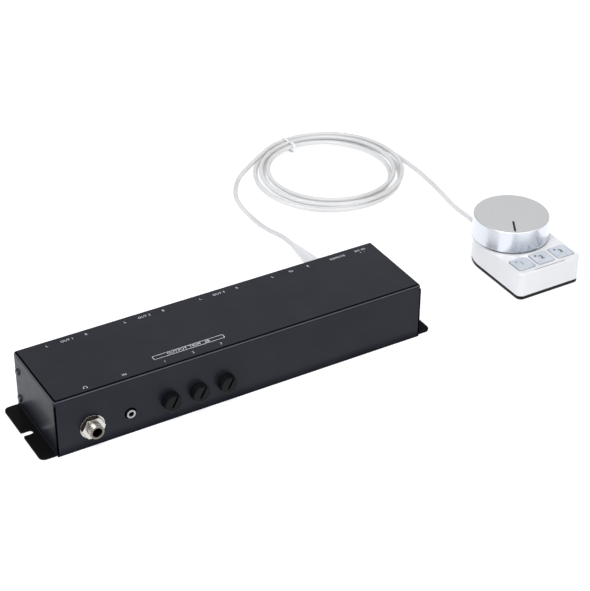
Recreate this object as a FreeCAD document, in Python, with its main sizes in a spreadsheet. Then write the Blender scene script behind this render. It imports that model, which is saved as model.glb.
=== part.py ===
"""Desktop studio monitor controller: a folded-steel connection box and a wired remote with a level knob.

Frame: the origin is the middle of the box's footprint, on the surface that it stands on. X runs along the
box to the remote, Y runs back to the connector panel, Z is up. All lengths are in millimetres.
"""
import FreeCAD, Part
import Sketcher
import math
import os

doc = FreeCAD.newDocument("monitor_controller")

# Driving dimensions, one named value for each size that can be set by itself
SIZES = {
    # Connection box
    "case_length": 268.0,
    "case_depth": 62.5,
    "case_height": 42.0,
    "sheet_thickness": 1.2,
    "bend_radius": 0.8,
    "seam_gap": 0.3,
    "corner_relief": 1.4,
    "flange_reach": 10.8,
    "flange_corner": 4.0,
    "slot_width": 4.5,
    "slot_depth": 7.4,
    "slot_lead_in": 1.0,
    "front_lip": 6.0,
    "tab_depth": 12.0,
    "tab_floor_gap": 3.0,
    "end_screw_setback": 4.2,
    "end_screw_low": 8.4,
    "end_screw_high": 28.9,
    "screw_radius": 1.5,
    "screw_head_radius": 2.7,
    "screw_head_height": 1.2,
    "screw_head_top": 1.9,
    "screw_overhang": 1.5,
    "screw_clearance": 0.2,
    "fold_lap": 1.0,
    "cut_margin": 1.0,
    # Board and what stands on it
    "board_thickness": 1.6,
    "board_inset_x": 5.0,
    "board_inset_y": 2.0,
    "standoff_height": 4.8,
    "standoff_radius": 2.8,
    "standoff_reach_x": 123.0,
    "standoff_middle_x": 11.0,
    "standoff_front_y": 23.0,
    "standoff_back_y": 4.0,
    "relay_length": 15.0,
    "relay_width": 7.5,
    "relay_height": 9.5,
    "relay_pitch": 22.0,
    "relay_row_y": 3.0,
    "chip_length": 9.0,
    "chip_width": 4.0,
    "chip_height": 1.6,
    "chip_row_y": 7.0,
    "chip_first_x": 10.9,
    "capacitor_radius": 4.0,
    "capacitor_height": 11.0,
    "capacitor_pitch": 12.0,
    "capacitor_row_y": 18.0,
    # Rear connectors
    "connector_height": 19.2,
    "connector_first_x": 113.4,
    "connector_pitch": 27.57,
    "connector_flange_width": 26.0,
    "connector_flange_height": 30.0,
    "connector_flange_depth": 2.0,
    "connector_flange_corner": 2.6,
    "connector_body_radius": 10.8,
    "connector_body_length": 18.0,
    "connector_hole_gap": 0.8,
    "connector_screw_x": 9.6,
    "connector_screw_z": 12.0,
    "output_bore": 8.1,
    "output_bore_depth": 15.4,
    "output_rim_bevel": 0.6,
    "output_pin_radius": 1.2,
    "output_pin_length": 13.6,
    "output_pin_ring": 4.0,
    "combo_ring_outer": 9.6,
    "combo_ring_inner": 7.7,
    "combo_ring_depth": 12.0,
    "combo_jack_radius": 3.25,
    "combo_jack_depth": 17.0,
    "combo_contact_radius": 1.5,
    "combo_contact_ring": 5.6,
    "remote_socket_x": 103.2,
    "remote_socket_width": 14.0,
    "remote_socket_length": 13.0,
    "remote_socket_nose": 6.4,
    "remote_socket_bore": 4.75,
    "remote_socket_depth": 9.1,
    "inlet_x": 121.1,
    "inlet_width": 9.0,
    "inlet_length": 14.0,
    "inlet_nose": 4.4,
    "inlet_bore": 3.2,
    "inlet_bore_depth": 9.5,
    "inlet_pin_radius": 1.0,
    "inlet_pin_setback": 1.0,
    # Front controls
    "front_axis": 15.5,
    "phones_x": 110.0,
    "phones_bore": 3.2,
    "phones_bush_radius": 4.75,
    "phones_reach": 8.0,
    "phones_body_width": 16.0,
    "phones_body_length": 24.0,
    "phones_nut_flats": 14.0,
    "phones_nut_height": 2.4,
    "phones_nut_seat_radius": 11.1,
    "phones_nut_face_radius": 7.3,
    "phones_washer_radius": 8.4,
    "phones_washer_height": 0.9,
    "aux_x": 83.5,
    "aux_bore": 1.8,
    "aux_ring_radius": 3.0,
    "aux_reach": 1.3,
    "aux_body_width": 8.0,
    "aux_body_length": 14.0,
    "panel_hole_gap": 0.25,
    "jack_hollow_gap": 0.3,
    "jack_end_wall": 1.5,
    "trim_first_x": 55.6,
    "trim_pitch": 20.0,
    "trim_knob_radius": 6.3,
    "trim_knob_face": 5.9,
    "trim_knob_reach": 5.7,
    "trim_knob_gap": 0.5,
    "trim_knob_rim": 0.6,
    "trim_knob_root": 1.0,
    "trim_face_wall": 1.5,
    "trim_shaft_radius": 3.0,
    "trim_bush_radius": 3.5,
    "trim_body_width": 10.0,
    "trim_body_length": 6.5,
    "trim_bore_depth": 4.5,
    "trim_line_width": 0.9,
    "trim_line_depth": 0.5,
    "trim_line_inner": 2.1,
    "trim_line_outer": 5.3,
    "trim_line_angle": 30.0,
    "shaft_clearance": 0.05,
    # Remote housing
    "remote_x": 246.1,
    "remote_y": 19.6,
    "remote_half_width": 26.6,
    "remote_front": 50.0,
    "remote_height": 21.35,
    "remote_wall": 2.0,
    "remote_corner": 4.5,
    "remote_top_round": 1.2,
    "foot_thickness": 1.0,
    "foot_inset": 2.4,
    "base_thickness": 2.0,
    "base_inset": 1.2,
    "ballast_thickness": 5.0,
    "ballast_gap": 1.0,
    "ballast_length": 30.0,
    "ballast_setback": 8.0,
    "remote_board_height": 11.6,
    "remote_board_gap": 0.8,
    "boss_radius": 3.2,
    "boss_front_y": 26.0,
    "boss_back_y": 14.0,
    "boss_x": 21.0,
    "boss_back_x": 14.5,
    "boss_pilot_radius": 1.35,
    "boss_pilot_depth": 4.7,
    "remote_screw_bite": 2.6,
    # Level control
    "knob_height": 16.6,
    "knob_gap": 0.45,
    "knob_bottom_radius": 28.5,
    "knob_top_radius": 27.25,
    "knob_side_hollow": 95.0,
    "knob_wall": 3.0,
    "knob_cap": 3.5,
    "knob_hub": 6.5,
    "knob_edge": 0.5,
    "level_shaft_radius": 3.0,
    "level_shaft_top": 12.0,
    "level_pot_width": 17.0,
    "level_pot_height": 6.0,
    "level_bush_radius": 3.5,
    "level_nut_flats": 10.0,
    "level_nut_height": 2.0,
    "level_bush_past_nut": 0.4,
    "level_pot_floor": 2.0,
    "knob_hub_gap": 1.0,
    "pointer_inner": 10.9,
    "pointer_outer": 24.9,
    "pointer_width": 1.5,
    "pointer_depth": 0.5,
    "pointer_angle": 30.0,
    # Keys of the remote
    "key_width": 13.6,
    "key_length": 13.3,
    "key_pitch": 16.9,
    "key_row_y": 38.0,
    "key_proud": 0.6,
    "key_thickness": 3.0,
    "key_gap": 0.3,
    "key_corner": 1.6,
    "key_lip": 0.8,
    "key_lip_height": 1.2,
    "key_travel": 0.5,
    "key_bevel": 0.35,
    "key_stem_radius": 2.2,
    "switch_width": 6.0,
    "switch_height": 3.1,
    "switch_button_radius": 1.7,
    "switch_button_height": 0.6,
    "led_width": 2.0,
    "led_height": 0.8,
    # Cable, plug and coil
    "cable_radius": 1.75,
    "relief_height": 9.0,
    "relief_root_radius": 3.4,
    "relief_tip_radius": 2.3,
    "relief_length": 15.0,
    "relief_groove_radius": 2.7,
    "relief_slack": 0.6,
    "relief_stop": 1.4,
    "relief_shoulder": 2.0,
    "plug_body_radius": 6.2,
    "plug_body_length": 23.0,
    "plug_neck_radius": 5.2,
    "plug_boot_length": 28.0,
    "plug_tip_radius": 2.3,
    "plug_rim": 0.8,
    "plug_shoulder": 2.0,
    "plug_cable_entry": 6.0,
    "plug_stand": 3.0,
    "plug_shell_radius": 4.4,
    "plug_shell_wall": 0.4,
    "plug_shell_length": 9.0,
    "plug_shell_floor": 1.0,
    "plug_pin_length": 7.0,
    "plug_pin_radius": 0.5,
    "plug_pin_ring": 2.4,
    "coil_x": 196.5,
    "coil_y": 190.0,
    "coil_outer_start": 60.6,
    "coil_outer_end": 58.6,
    "coil_inner": 47.4,
    "coil_lift": 0.6,
    "coil_layer_step": 3.95,
    "coil_start_angle": 8.0,
    "coil_end_angle": 115.0,
    "tie_angle": 97.0,
    "tie_width": 3.0,
    "tie_thickness": 0.5,
    "tie_gap": 0.3,
    "tie_slack": 1.0,
    "tie_corner": 1.6,
}
COIL_WHOLE_TURNS = 4
OUTPUT_COUNT = 6
COMBO_COUNT = 2
TRIM_COUNT = 3
KEY_COUNT = 3
PLUG_PIN_COUNT = 6
OUTPUT_PIN_ANGLES = (45, 135, 270)
COMBO_CONTACT_ANGLES = (90, 210, 330)

# Route of the cable from the plug to the coil, chosen by hand: X, Y, Z
BOX_LEG_ROUTE = [
    (103.3, 111.5, 15.6),
    (104.6, 126.0, 9.8),
    (107.2, 141.5, 4.4),
    (109.6, 158.5, 1.9),
    (110.6, 176.5, 1.75),
    (114.2, 194.0, 1.75),
    (122.8, 209.5, 1.75),
    (134.6, 222.6, 2.6),
]
# Route of the cable from the remote to the coil, chosen by hand: X, Y, Z
REMOTE_LEG_ROUTE = [
    (247.4, 86.5, 6.2),
    (251.2, 101.0, 2.6),
    (255.6, 116.5, 1.75),
    (258.2, 133.5, 1.75),
    (259.6, 151.0, 1.75),
    (260.2, 166.5, 1.9),
]
LEG_FIRST_RUN = 12.5
LEG_LAST_RUN = 13.5
# Share of the shorter run that the arc at a corner takes
ARC_SHARE = 0.45
# Spacing of the points, and how many of them apart, for the coil's gap to itself
GAP_STEP = 2.0
GAP_APART = 60

sheet = doc.addObject("Spreadsheet::Sheet", "sizes")
for row, (alias, number) in enumerate(SIZES.items(), start=1):
    sheet.set("A%d" % row, alias)
    sheet.set("B%d" % row, repr(number))
    sheet.setAlias("B%d" % row, alias)
doc.recompute()


class Size:
    """A length or angle that carries its number and the sheet expression that gives it."""

    def __init__(self, number, text):
        self.number = number
        self.text = text

    def __add__(self, other):
        other = as_size(other)
        return Size(self.number + other.number, "(%s + %s)" % (self.text, other.text))

    def __sub__(self, other):
        other = as_size(other)
        return Size(self.number - other.number, "(%s - %s)" % (self.text, other.text))

    def __mul__(self, other):
        other = as_size(other)
        return Size(self.number * other.number, "(%s * %s)" % (self.text, other.text))

    def __truediv__(self, other):
        other = as_size(other)
        return Size(self.number / other.number, "(%s / %s)" % (self.text, other.text))

    def __neg__(self):
        return Size(-self.number, "(0 - %s)" % self.text)


def as_size(value):
    if isinstance(value, Size):
        return value
    return Size(float(value), "(%r)" % float(value))


def size(alias):
    """The named value of the sheet."""
    return Size(float(SIZES[alias]), "sizes." + alias)


def bind(item, target, value):
    item.setExpression(target, as_size(value).text)


nodes = {}


def keep(label, item):
    """Register the finished sub-part under the name of its file."""
    item.Label = label
    nodes[label] = item
    return item


# Helpers for bodies made from sketches


def new_body(label, place=(0, 0, 0), stand=None):
    """An empty body, moved to its place; stand is a turn in degrees about X."""
    body = doc.addObject("PartDesign::Body", "Body_" + label)
    if stand is not None:
        body.Placement = FreeCAD.Placement(FreeCAD.Vector(), FreeCAD.Rotation(FreeCAD.Vector(1, 0, 0), stand))
    for axis, value in zip("xyz", place):
        bind(body, "Placement.Base." + axis, value)
    return keep(label, body)


def new_sketch(body, role, offset, turn):
    sketch = body.newObject("Sketcher::SketchObject", "Sketch")
    plane = next(item for item in body.Origin.OriginFeatures if item.Role == role)
    sketch.AttachmentSupport = [(plane, "")]
    sketch.MapMode = "FlatFace"
    if turn is not None:
        spin = FreeCAD.Rotation(FreeCAD.Vector(0, 0, 1), turn.number)
        sketch.AttachmentOffset = FreeCAD.Placement(FreeCAD.Vector(), spin)
        bind(sketch, "AttachmentOffset.Rotation.Angle", turn)
    bind(sketch, "AttachmentOffset.Base.z", offset)
    return sketch


def fix(sketch, geometry, point, x, y):
    """Hold a point of the sketch at its distances from the sketch's origin."""
    index = sketch.addConstraint(Sketcher.Constraint("DistanceX", -1, 1, geometry, point, as_size(x).number))
    bind(sketch, "Constraints[%d]" % index, x)
    index = sketch.addConstraint(Sketcher.Constraint("DistanceY", -1, 1, geometry, point, as_size(y).number))
    bind(sketch, "Constraints[%d]" % index, y)


def arc_between(start, end, radius):
    """Arc from start to end; a positive radius bulges to the right of the way from start to end."""
    a = FreeCAD.Vector(start[0], start[1], 0)
    b = FreeCAD.Vector(end[0], end[1], 0)
    chord = b - a
    side = FreeCAD.Vector(chord.y, -chord.x, 0).normalize()
    reach = abs(radius) - math.sqrt(max(radius ** 2 - (chord.Length / 2) ** 2, 0.0))
    middle = (a + b) * 0.5 + side * math.copysign(reach, radius)
    return Part.Arc(a, middle, b) if radius > 0 else Part.Arc(b, middle, a)


def outlines(body, role, loops, offset=0.0, turn=None):
    """Sketch of closed loops. A corner is (x, y), or (x, y, radius) where an arc leads to the next corner."""
    sketch = new_sketch(body, role, offset, turn)
    for corners in loops:
        first = sketch.GeometryCount
        places = [(as_size(c[0]).number, as_size(c[1]).number) for c in corners]
        arcs = {}
        for i, corner in enumerate(corners):
            start, end = places[i], places[(i + 1) % len(places)]
            if len(corner) == 3:
                edge = arc_between(start, end, as_size(corner[2]).number)
                curve = sketch.addGeometry(edge, False)
                arcs[curve] = as_size(corner[2]).number > 0
                radius = as_size(corner[2])
                index = sketch.addConstraint(Sketcher.Constraint("Radius", curve, abs(radius.number)))
                bind(sketch, "Constraints[%d]" % index, radius if radius.number > 0 else -radius)
            else:
                line = Part.LineSegment(FreeCAD.Vector(*start, 0), FreeCAD.Vector(*end, 0))
                sketch.addGeometry(line, False)
        count = len(corners)
        for i, corner in enumerate(corners):
            now, before = first + i, first + (i - 1) % count
            start_point = 1 if arcs.get(now, True) else 2
            end_point = 2 if arcs.get(before, True) else 1
            sketch.addConstraint(Sketcher.Constraint("Coincident", before, end_point, now, start_point))
            fix(sketch, now, start_point, corner[0], corner[1])
    return sketch


def circles(body, role, rounds, offset=0.0):
    """Sketch of circles given as (x, y, radius)."""
    sketch = new_sketch(body, role, offset, None)
    for x, y, radius in rounds:
        centre = FreeCAD.Vector(as_size(x).number, as_size(y).number, 0)
        circle = Part.Circle(centre, FreeCAD.Vector(0, 0, 1), as_size(radius).number)
        geometry = sketch.addGeometry(circle, False)
        index = sketch.addConstraint(Sketcher.Constraint("Radius", geometry, as_size(radius).number))
        bind(sketch, "Constraints[%d]" % index, radius)
        fix(sketch, geometry, 3, x, y)
    return sketch


def pad(body, sketch, length, back=False, both=False):
    """Raise a sketch along its normal, against it, or half each way."""
    feature = body.newObject("PartDesign::Pad", "Pad")
    feature.Profile = sketch
    feature.Reversed = back
    feature.Midplane = both
    bind(feature, "Length", length)
    doc.recompute()
    return feature


def pocket(body, sketch, depth):
    """Cut a sketch to a depth on both sides of its plane, and make sure that it cut."""
    doc.recompute()
    before = body.Shape.Volume
    feature = body.newObject("PartDesign::Pocket", "Pocket")
    feature.Profile = sketch
    feature.Midplane = True
    bind(feature, "Length", as_size(depth) * 2)
    doc.recompute()
    if not body.Shape.Volume < before:
        raise RuntimeError("a pocket of %s cut nothing" % body.Label)
    return feature


def revolve(body, sketch):
    """Turn a profile about the upright axis of its sketch."""
    feature = body.newObject("PartDesign::Revolution", "Revolution")
    feature.Profile = sketch
    feature.ReferenceAxis = (sketch, ["V_Axis"])
    feature.Angle = 360.0
    doc.recompute()
    return feature


def round_edges(body, radius, choose, kind="PartDesign::Fillet", sized="Radius"):
    """Fillet or chamfer the edges of the body that a test picks."""
    doc.recompute()
    base = body.Tip
    names = ["Edge%d" % (i + 1) for i, edge in enumerate(base.Shape.Edges) if choose(edge)]
    if not names:
        raise RuntimeError("no edge to round on %s" % body.Label)
    feature = body.newObject(kind, kind.split("::")[1])
    feature.Base = (base, names)
    bind(feature, sized, radius)
    doc.recompute()
    if not body.Shape.isValid() or body.Shape.Volume <= 0:
        raise RuntimeError("the rounding of %s edges on %s failed" % (len(names), body.Label))
    return feature


def bevel_edges(body, length, choose):
    return round_edges(body, length, choose, "PartDesign::Chamfer", "Size")


def runs_along(edge, axis):
    """True for a straight edge that is parallel to an axis, 0, 1 or 2."""
    if len(edge.Vertexes) != 2 or edge.Curve.TypeId != "Part::GeomLine":
        return False
    way = edge.Vertexes[1].Point - edge.Vertexes[0].Point
    return abs(abs(way[axis]) - way.Length) < 1e-6


def at(edge, **places):
    """True where the middle of the edge lies at the given coordinates; ax, ay, az compare without sign."""
    middle = edge.CenterOfMass
    for name, value in places.items():
        found = getattr(middle, name[-1])
        if len(name) == 2:
            found = abs(found)
        if abs(found - as_size(value).number) > 0.02:
            return False
    return True


def rectangle(x, y, width, height):
    """Corners of a rectangle about a centre."""
    left, right = as_size(x) - as_size(width) / 2, as_size(x) + as_size(width) / 2
    low, high = as_size(y) - as_size(height) / 2, as_size(y) + as_size(height) / 2
    return [(left, low), (right, low), (right, high), (left, high)]


# Helpers for plain solids and booleans


def put(item, place, turn):
    if turn is not None:
        item.Placement = FreeCAD.Placement(FreeCAD.Vector(), FreeCAD.Rotation(*turn))
    for axis, value in zip("xyz", place):
        bind(item, "Placement.Base." + axis, value)
    return item


# Turns that lay the upright axis of a primitive along -Y or +Y
TO_FRONT = (FreeCAD.Vector(1, 0, 0), 90)
TO_REAR = (FreeCAD.Vector(1, 0, 0), -90)


def block(length, width, height, place):
    """A box whose place is the middle of its underside."""
    item = doc.addObject("Part::Box", "Block")
    bind(item, "Length", length)
    bind(item, "Width", width)
    bind(item, "Height", height)
    x, y, z = place
    return put(item, (as_size(x) - as_size(length) / 2, as_size(y) - as_size(width) / 2, z), None)


def rod(radius, height, place, turn=None):
    item = doc.addObject("Part::Cylinder", "Rod")
    bind(item, "Radius", radius)
    bind(item, "Height", height)
    return put(item, place, turn)


def cone(low_radius, high_radius, height, place, turn=None):
    item = doc.addObject("Part::Cone", "Cone")
    bind(item, "Radius1", low_radius)
    bind(item, "Radius2", high_radius)
    bind(item, "Height", height)
    return put(item, place, turn)


def hexagon(flats, height, place, turn=None):
    item = doc.addObject("Part::Prism", "Hexagon")
    item.Polygon = 6
    bind(item, "Circumradius", as_size(flats) / math.sqrt(3))
    bind(item, "Height", height)
    return put(item, place, turn)


def cut(base, *tools):
    for tool in tools:
        item = doc.addObject("Part::Cut", "Cut")
        item.Base = base
        item.Tool = tool
        base = item
    return base


def fuse(*items):
    item = doc.addObject("Part::MultiFuse", "Fusion")
    item.Shapes = list(items)
    item.Refine = True
    return item


def common(*items):
    item = doc.addObject("Part::MultiCommon", "Common")
    item.Shapes = list(items)
    return item


def group(label, items):
    """Separate solids that share one node."""
    item = doc.addObject("Part::Compound", "Group")
    item.Links = items
    return keep(label, item)


half_length = size("case_length") / 2
half_depth = size("case_depth") / 2
sheet_thick = size("sheet_thickness")
bend_outer = size("bend_radius") + sheet_thick
front_inside = -half_depth + sheet_thick
board_top = sheet_thick + size("standoff_height") + size("board_thickness")


# Folded steel case


def case_cover():
    """Top, front and end walls with out-turned mounting flanges, folded from one sheet."""
    body = new_body("case_cover")
    height, reach = size("case_height"), size("flange_reach")
    outer, inner = half_length, half_length - sheet_thick
    hat = [
        (-outer - reach, 0), (-inner, 0), (-inner, height - sheet_thick), (inner, height - sheet_thick),
        (inner, 0), (outer + reach, 0), (outer + reach, sheet_thick), (outer, sheet_thick),
        (outer, height), (-outer, height), (-outer, sheet_thick), (-outer - reach, sheet_thick),
    ]
    wall_top = height - bend_outer - size("corner_relief")
    behind_bend = half_depth - bend_outer - size("seam_gap")
    behind_front = half_depth - sheet_thick - size("seam_gap")
    pad(body, outlines(body, "XZ_Plane", [hat], behind_bend), half_depth + behind_bend, back=True)
    feet = []
    for side in (-1, 1):
        feet.append([
            ((outer + reach) * side, 0), (inner * side, 0), (inner * side, wall_top),
            (outer * side, wall_top), (outer * side, sheet_thick), ((outer + reach) * side, sheet_thick),
        ])
    pad(body, outlines(body, "XZ_Plane", feet, behind_front), behind_front - behind_bend, back=True)
    round_edges(body, bend_outer, lambda e: runs_along(e, 1) and (
        at(e, ax=outer, z=height) or at(e, ax=inner, z=0)))
    round_edges(body, size("bend_radius"), lambda e: runs_along(e, 1) and (
        at(e, ax=inner, z=height - sheet_thick) or at(e, ax=outer, z=sheet_thick)))

    lap = -half_depth + bend_outer + size("corner_relief") + sheet_thick
    fold_foot = wall_top - size("fold_lap")
    fold = [
        (-half_depth, fold_foot), (-half_depth + sheet_thick, fold_foot),
        (-half_depth + sheet_thick, height - sheet_thick), (lap, height - sheet_thick),
        (lap, height), (-half_depth, height),
    ]
    fold_width = (outer - bend_outer - size("corner_relief") / 2) * 2
    pad(body, outlines(body, "YZ_Plane", [fold]), fold_width, both=True)
    round_edges(body, bend_outer, lambda e: runs_along(e, 0) and at(e, y=-half_depth, z=height))
    round_edges(body, size("bend_radius"), lambda e: runs_along(e, 0) and at(
        e, y=-half_depth + sheet_thick, z=height - sheet_thick))
    wall_width = outer * 2 - size("seam_gap")
    front = rectangle(0, wall_top / 2, wall_width, wall_top)
    pad(body, outlines(body, "XZ_Plane", [front], half_depth), sheet_thick, back=True)

    axis_z = size("front_axis")
    gap = size("panel_hole_gap")
    holes = [(-size("phones_x"), axis_z, size("phones_bush_radius") + gap)]
    holes.append((-size("aux_x"), axis_z, size("aux_ring_radius") + gap))
    for i in range(TRIM_COUNT):
        holes.append((trim_x(i), axis_z, size("trim_bush_radius") + gap))
    pocket(body, circles(body, "XZ_Plane", holes, half_depth), sheet_thick * 2)

    slot_end = outer + reach - size("slot_depth") + size("slot_width") / 2
    slot_mouth = outer + reach + size("cut_margin")
    slot_mid = (slot_end + slot_mouth) / 2
    slot_run = slot_mouth - slot_end
    sides = (as_size(-1), as_size(1))
    slots = [rectangle(side * slot_mid, 0, slot_run, size("slot_width")) for side in sides]
    pocket(body, outlines(body, "XY_Plane", slots), sheet_thick * 2)
    ends = [(side * slot_end, 0, size("slot_width") / 2) for side in sides]
    pocket(body, circles(body, "XY_Plane", ends), sheet_thick * 2)
    round_edges(body, size("flange_corner"), lambda e: runs_along(e, 2) and at(e, ax=outer + reach) and abs(
        e.CenterOfMass.y) > size("case_depth").number / 3)
    round_edges(body, size("slot_lead_in"), lambda e: runs_along(e, 2) and at(e, ax=outer + reach) and at(
        e, ay=size("slot_width") / 2))

    hole = size("screw_radius") + size("screw_clearance")
    pocket(body, circles(body, "YZ_Plane", [(y, z, hole) for y, z in end_screw_places()]),
           outer + size("cut_margin"))


def end_screw_places():
    y = half_depth - size("end_screw_setback")
    return [(y, size("end_screw_low")), (y, size("end_screw_high"))]


def connector_x(i):
    return -size("connector_first_x") + size("connector_pitch") * i


def trim_x(i):
    return -size("trim_first_x") + size("trim_pitch") * i


def connector_screw_places():
    """X and Z of the two screws of each large connector."""
    places = []
    for i in range(OUTPUT_COUNT + COMBO_COUNT):
        for side in (-1, 1):
            x = connector_x(i) + size("connector_screw_x") * side
            places.append((x, size("connector_height") + size("connector_screw_z") * side * -1))
    return places


def base_panel():
    """Floor, connector wall and end tabs, folded from one sheet; the cover closes over it."""
    body = new_body("base_panel")
    gap = size("seam_gap")
    front, back = front_inside + gap, half_depth
    top = size("case_height") - sheet_thick - gap
    width = (half_length - sheet_thick - gap) * 2
    profile = [
        (front, 0), (back, 0), (back, top), (back - sheet_thick, top), (back - sheet_thick, sheet_thick),
        (front + sheet_thick, sheet_thick), (front + sheet_thick, size("front_lip")),
        (front, size("front_lip")),
    ]
    pad(body, outlines(body, "YZ_Plane", [profile]), width, both=True)
    round_edges(body, bend_outer, lambda e: runs_along(e, 0) and at(e, z=0))
    round_edges(body, size("bend_radius"), lambda e: runs_along(e, 0) and at(e, z=sheet_thick))
    tab_mid = size("tab_floor_gap") + (top - size("tab_floor_gap")) / 2
    for side in (-1, 1):
        tab = rectangle(back - size("tab_depth") / 2, tab_mid, size("tab_depth"), top - size("tab_floor_gap"))
        sketch = outlines(body, "YZ_Plane", [tab], (width / 2 - sheet_thick / 2) * side)
        pad(body, sketch, sheet_thick, both=True)
    holes = []
    for i in range(OUTPUT_COUNT + COMBO_COUNT):
        radius = size("connector_body_radius") + size("connector_hole_gap")
        holes.append((connector_x(i), size("connector_height"), radius))
    level = size("connector_height")
    holes.append((size("remote_socket_x"), level, size("remote_socket_nose") + size("seam_gap")))
    holes.append((size("inlet_x"), level, size("inlet_nose") + size("seam_gap")))
    for x, z in connector_screw_places():
        holes.append((x, z, size("screw_radius") + size("shaft_clearance")))
    pocket(body, circles(body, "XZ_Plane", holes, -half_depth), sheet_thick * 2)
    pilots = [(y, z, size("screw_radius") + size("shaft_clearance")) for y, z in end_screw_places()]
    pocket(body, circles(body, "YZ_Plane", pilots), half_length)


def end_screws():
    """Two screws through each end wall into the tabs of the base."""
    items = []
    length = sheet_thick * 2 + size("seam_gap") + size("screw_overhang")
    for side in (-1, 1):
        for y, z in end_screw_places():
            turn = (FreeCAD.Vector(0, 1, 0), 90 * side)
            inward = (half_length - length) * side
            shank = rod(size("screw_radius"), length, (inward, y, z), turn)
            head = cone(size("screw_head_radius"), size("screw_head_top"), size("screw_head_height"),
                        (half_length * side, y, z), turn)
            items.append(fuse(shank, head))
    group("end_screws", items)


# Board inside the box


def standoff_places():
    places = []
    for x in (-size("standoff_reach_x"), size("standoff_middle_x"), size("standoff_reach_x")):
        for y in (-size("standoff_front_y"), -size("standoff_back_y")):
            places.append((x, y))
    return places


def main_board():
    length = (half_length - size("board_inset_x")) * 2
    front = front_inside + size("board_inset_y")
    back = half_depth - sheet_thick - size("board_inset_y")
    plate = block(length, back - front, size("board_thickness"),
                  (0, (front + back) / 2, board_top - size("board_thickness")))
    holes = []
    for x, y in standoff_places():
        hole = size("screw_radius") + size("screw_clearance")
        start = board_top - size("board_thickness") - size("cut_margin")
        holes.append(rod(hole, size("board_thickness") + size("cut_margin") * 2, (x, y, start)))
    keep("main_board", cut(plate, *holes))


def board_standoffs():
    items = []
    for x, y in standoff_places():
        pillar = hexagon(size("standoff_radius") * 2, size("standoff_height"), (x, y, sheet_thick))
        bore = rod(size("screw_radius") + size("shaft_clearance"), size("standoff_height"),
                   (x, y, sheet_thick + size("cut_margin")))
        items.append(cut(pillar, bore))
    group("board_standoffs", items)


def board_screws():
    items = []
    for x, y in standoff_places():
        length = size("board_thickness") + size("standoff_height") / 2
        shank = rod(size("screw_radius"), length, (x, y, board_top - length))
        head = cone(size("screw_head_radius"), size("screw_head_top"), size("screw_head_height"),
                    (x, y, board_top))
        items.append(fuse(shank, head))
    group("board_screws", items)


def relays():
    """Relays that switch the three speaker pairs."""
    items = []
    for i in range(OUTPUT_COUNT):
        items.append(block(size("relay_length"), size("relay_width"), size("relay_height"),
                           (size("relay_pitch") * i, -size("relay_row_y"), board_top)))
    group("relays", items)


def amplifier_chips():
    items = []
    for i in range(OUTPUT_COUNT):
        x = -size("chip_first_x") - size("relay_pitch") * i
        items.append(block(size("chip_length"), size("chip_width"), size("chip_height"),
                           (x, size("chip_row_y"), board_top)))
    group("amplifier_chips", items)


def capacitors():
    items = []
    for i in range(OUTPUT_COUNT):
        x = size("standoff_middle_x") + size("capacitor_pitch") * (i + 1)
        place = (x, -size("capacitor_row_y"), board_top)
        items.append(rod(size("capacitor_radius"), size("capacitor_height"), place))
    group("capacitors", items)


# Rear connectors


def panel_socket(label, i):
    """Flange, corner rounding, screw holes and barrel that the output and combination sockets share."""
    body = new_body(label, (connector_x(i), 0, size("connector_height")))
    width, height = size("connector_flange_width"), size("connector_flange_height")
    flange = outlines(body, "XZ_Plane", [rectangle(0, 0, width, height)], -half_depth)
    pad(body, flange, size("connector_flange_depth"), back=True)
    round_edges(body, size("connector_flange_corner"), lambda e: runs_along(e, 1))
    barrel = circles(body, "XZ_Plane", [(0, 0, size("connector_body_radius"))], -half_depth)
    pad(body, barrel, size("connector_body_length"))
    hole = size("screw_radius") + size("screw_clearance")
    screw_x, screw_z = size("connector_screw_x"), size("connector_screw_z")
    screws = [(screw_x * side, -screw_z * side, hole) for side in (-1, 1)]
    mouth = -half_depth - size("connector_flange_depth")
    depth = size("connector_flange_depth") + size("cut_margin")
    pocket(body, circles(body, "XZ_Plane", screws, mouth), depth)
    return body, mouth


def output_socket(i):
    """Three-pole male output: an open round well with its pins standing on the floor."""
    body, mouth = panel_socket("output_socket_%d" % (i + 1), i)
    pocket(body, circles(body, "XZ_Plane", [(0, 0, size("output_bore"))], mouth), size("output_bore_depth"))
    bevel_edges(body, size("output_rim_bevel"), lambda e: e.Curve.TypeId == "Part::GeomCircle"
                and at(e, y=-mouth) and abs(e.Curve.Radius - size("output_bore").number) < 0.01)


def output_pins():
    """Three contact pins for each output, standing on the floor of the well."""
    items = []
    floor = half_depth + size("connector_flange_depth") - size("output_bore_depth")
    ring = size("output_pin_ring")
    for i in range(OUTPUT_COUNT):
        for angle in OUTPUT_PIN_ANGLES:
            x = connector_x(i) + ring * math.cos(math.radians(angle))
            z = size("connector_height") + ring * math.sin(math.radians(angle))
            items.append(rod(size("output_pin_radius"), size("output_pin_length"), (x, floor, z), TO_REAR))
    group("output_pins", items)


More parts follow.
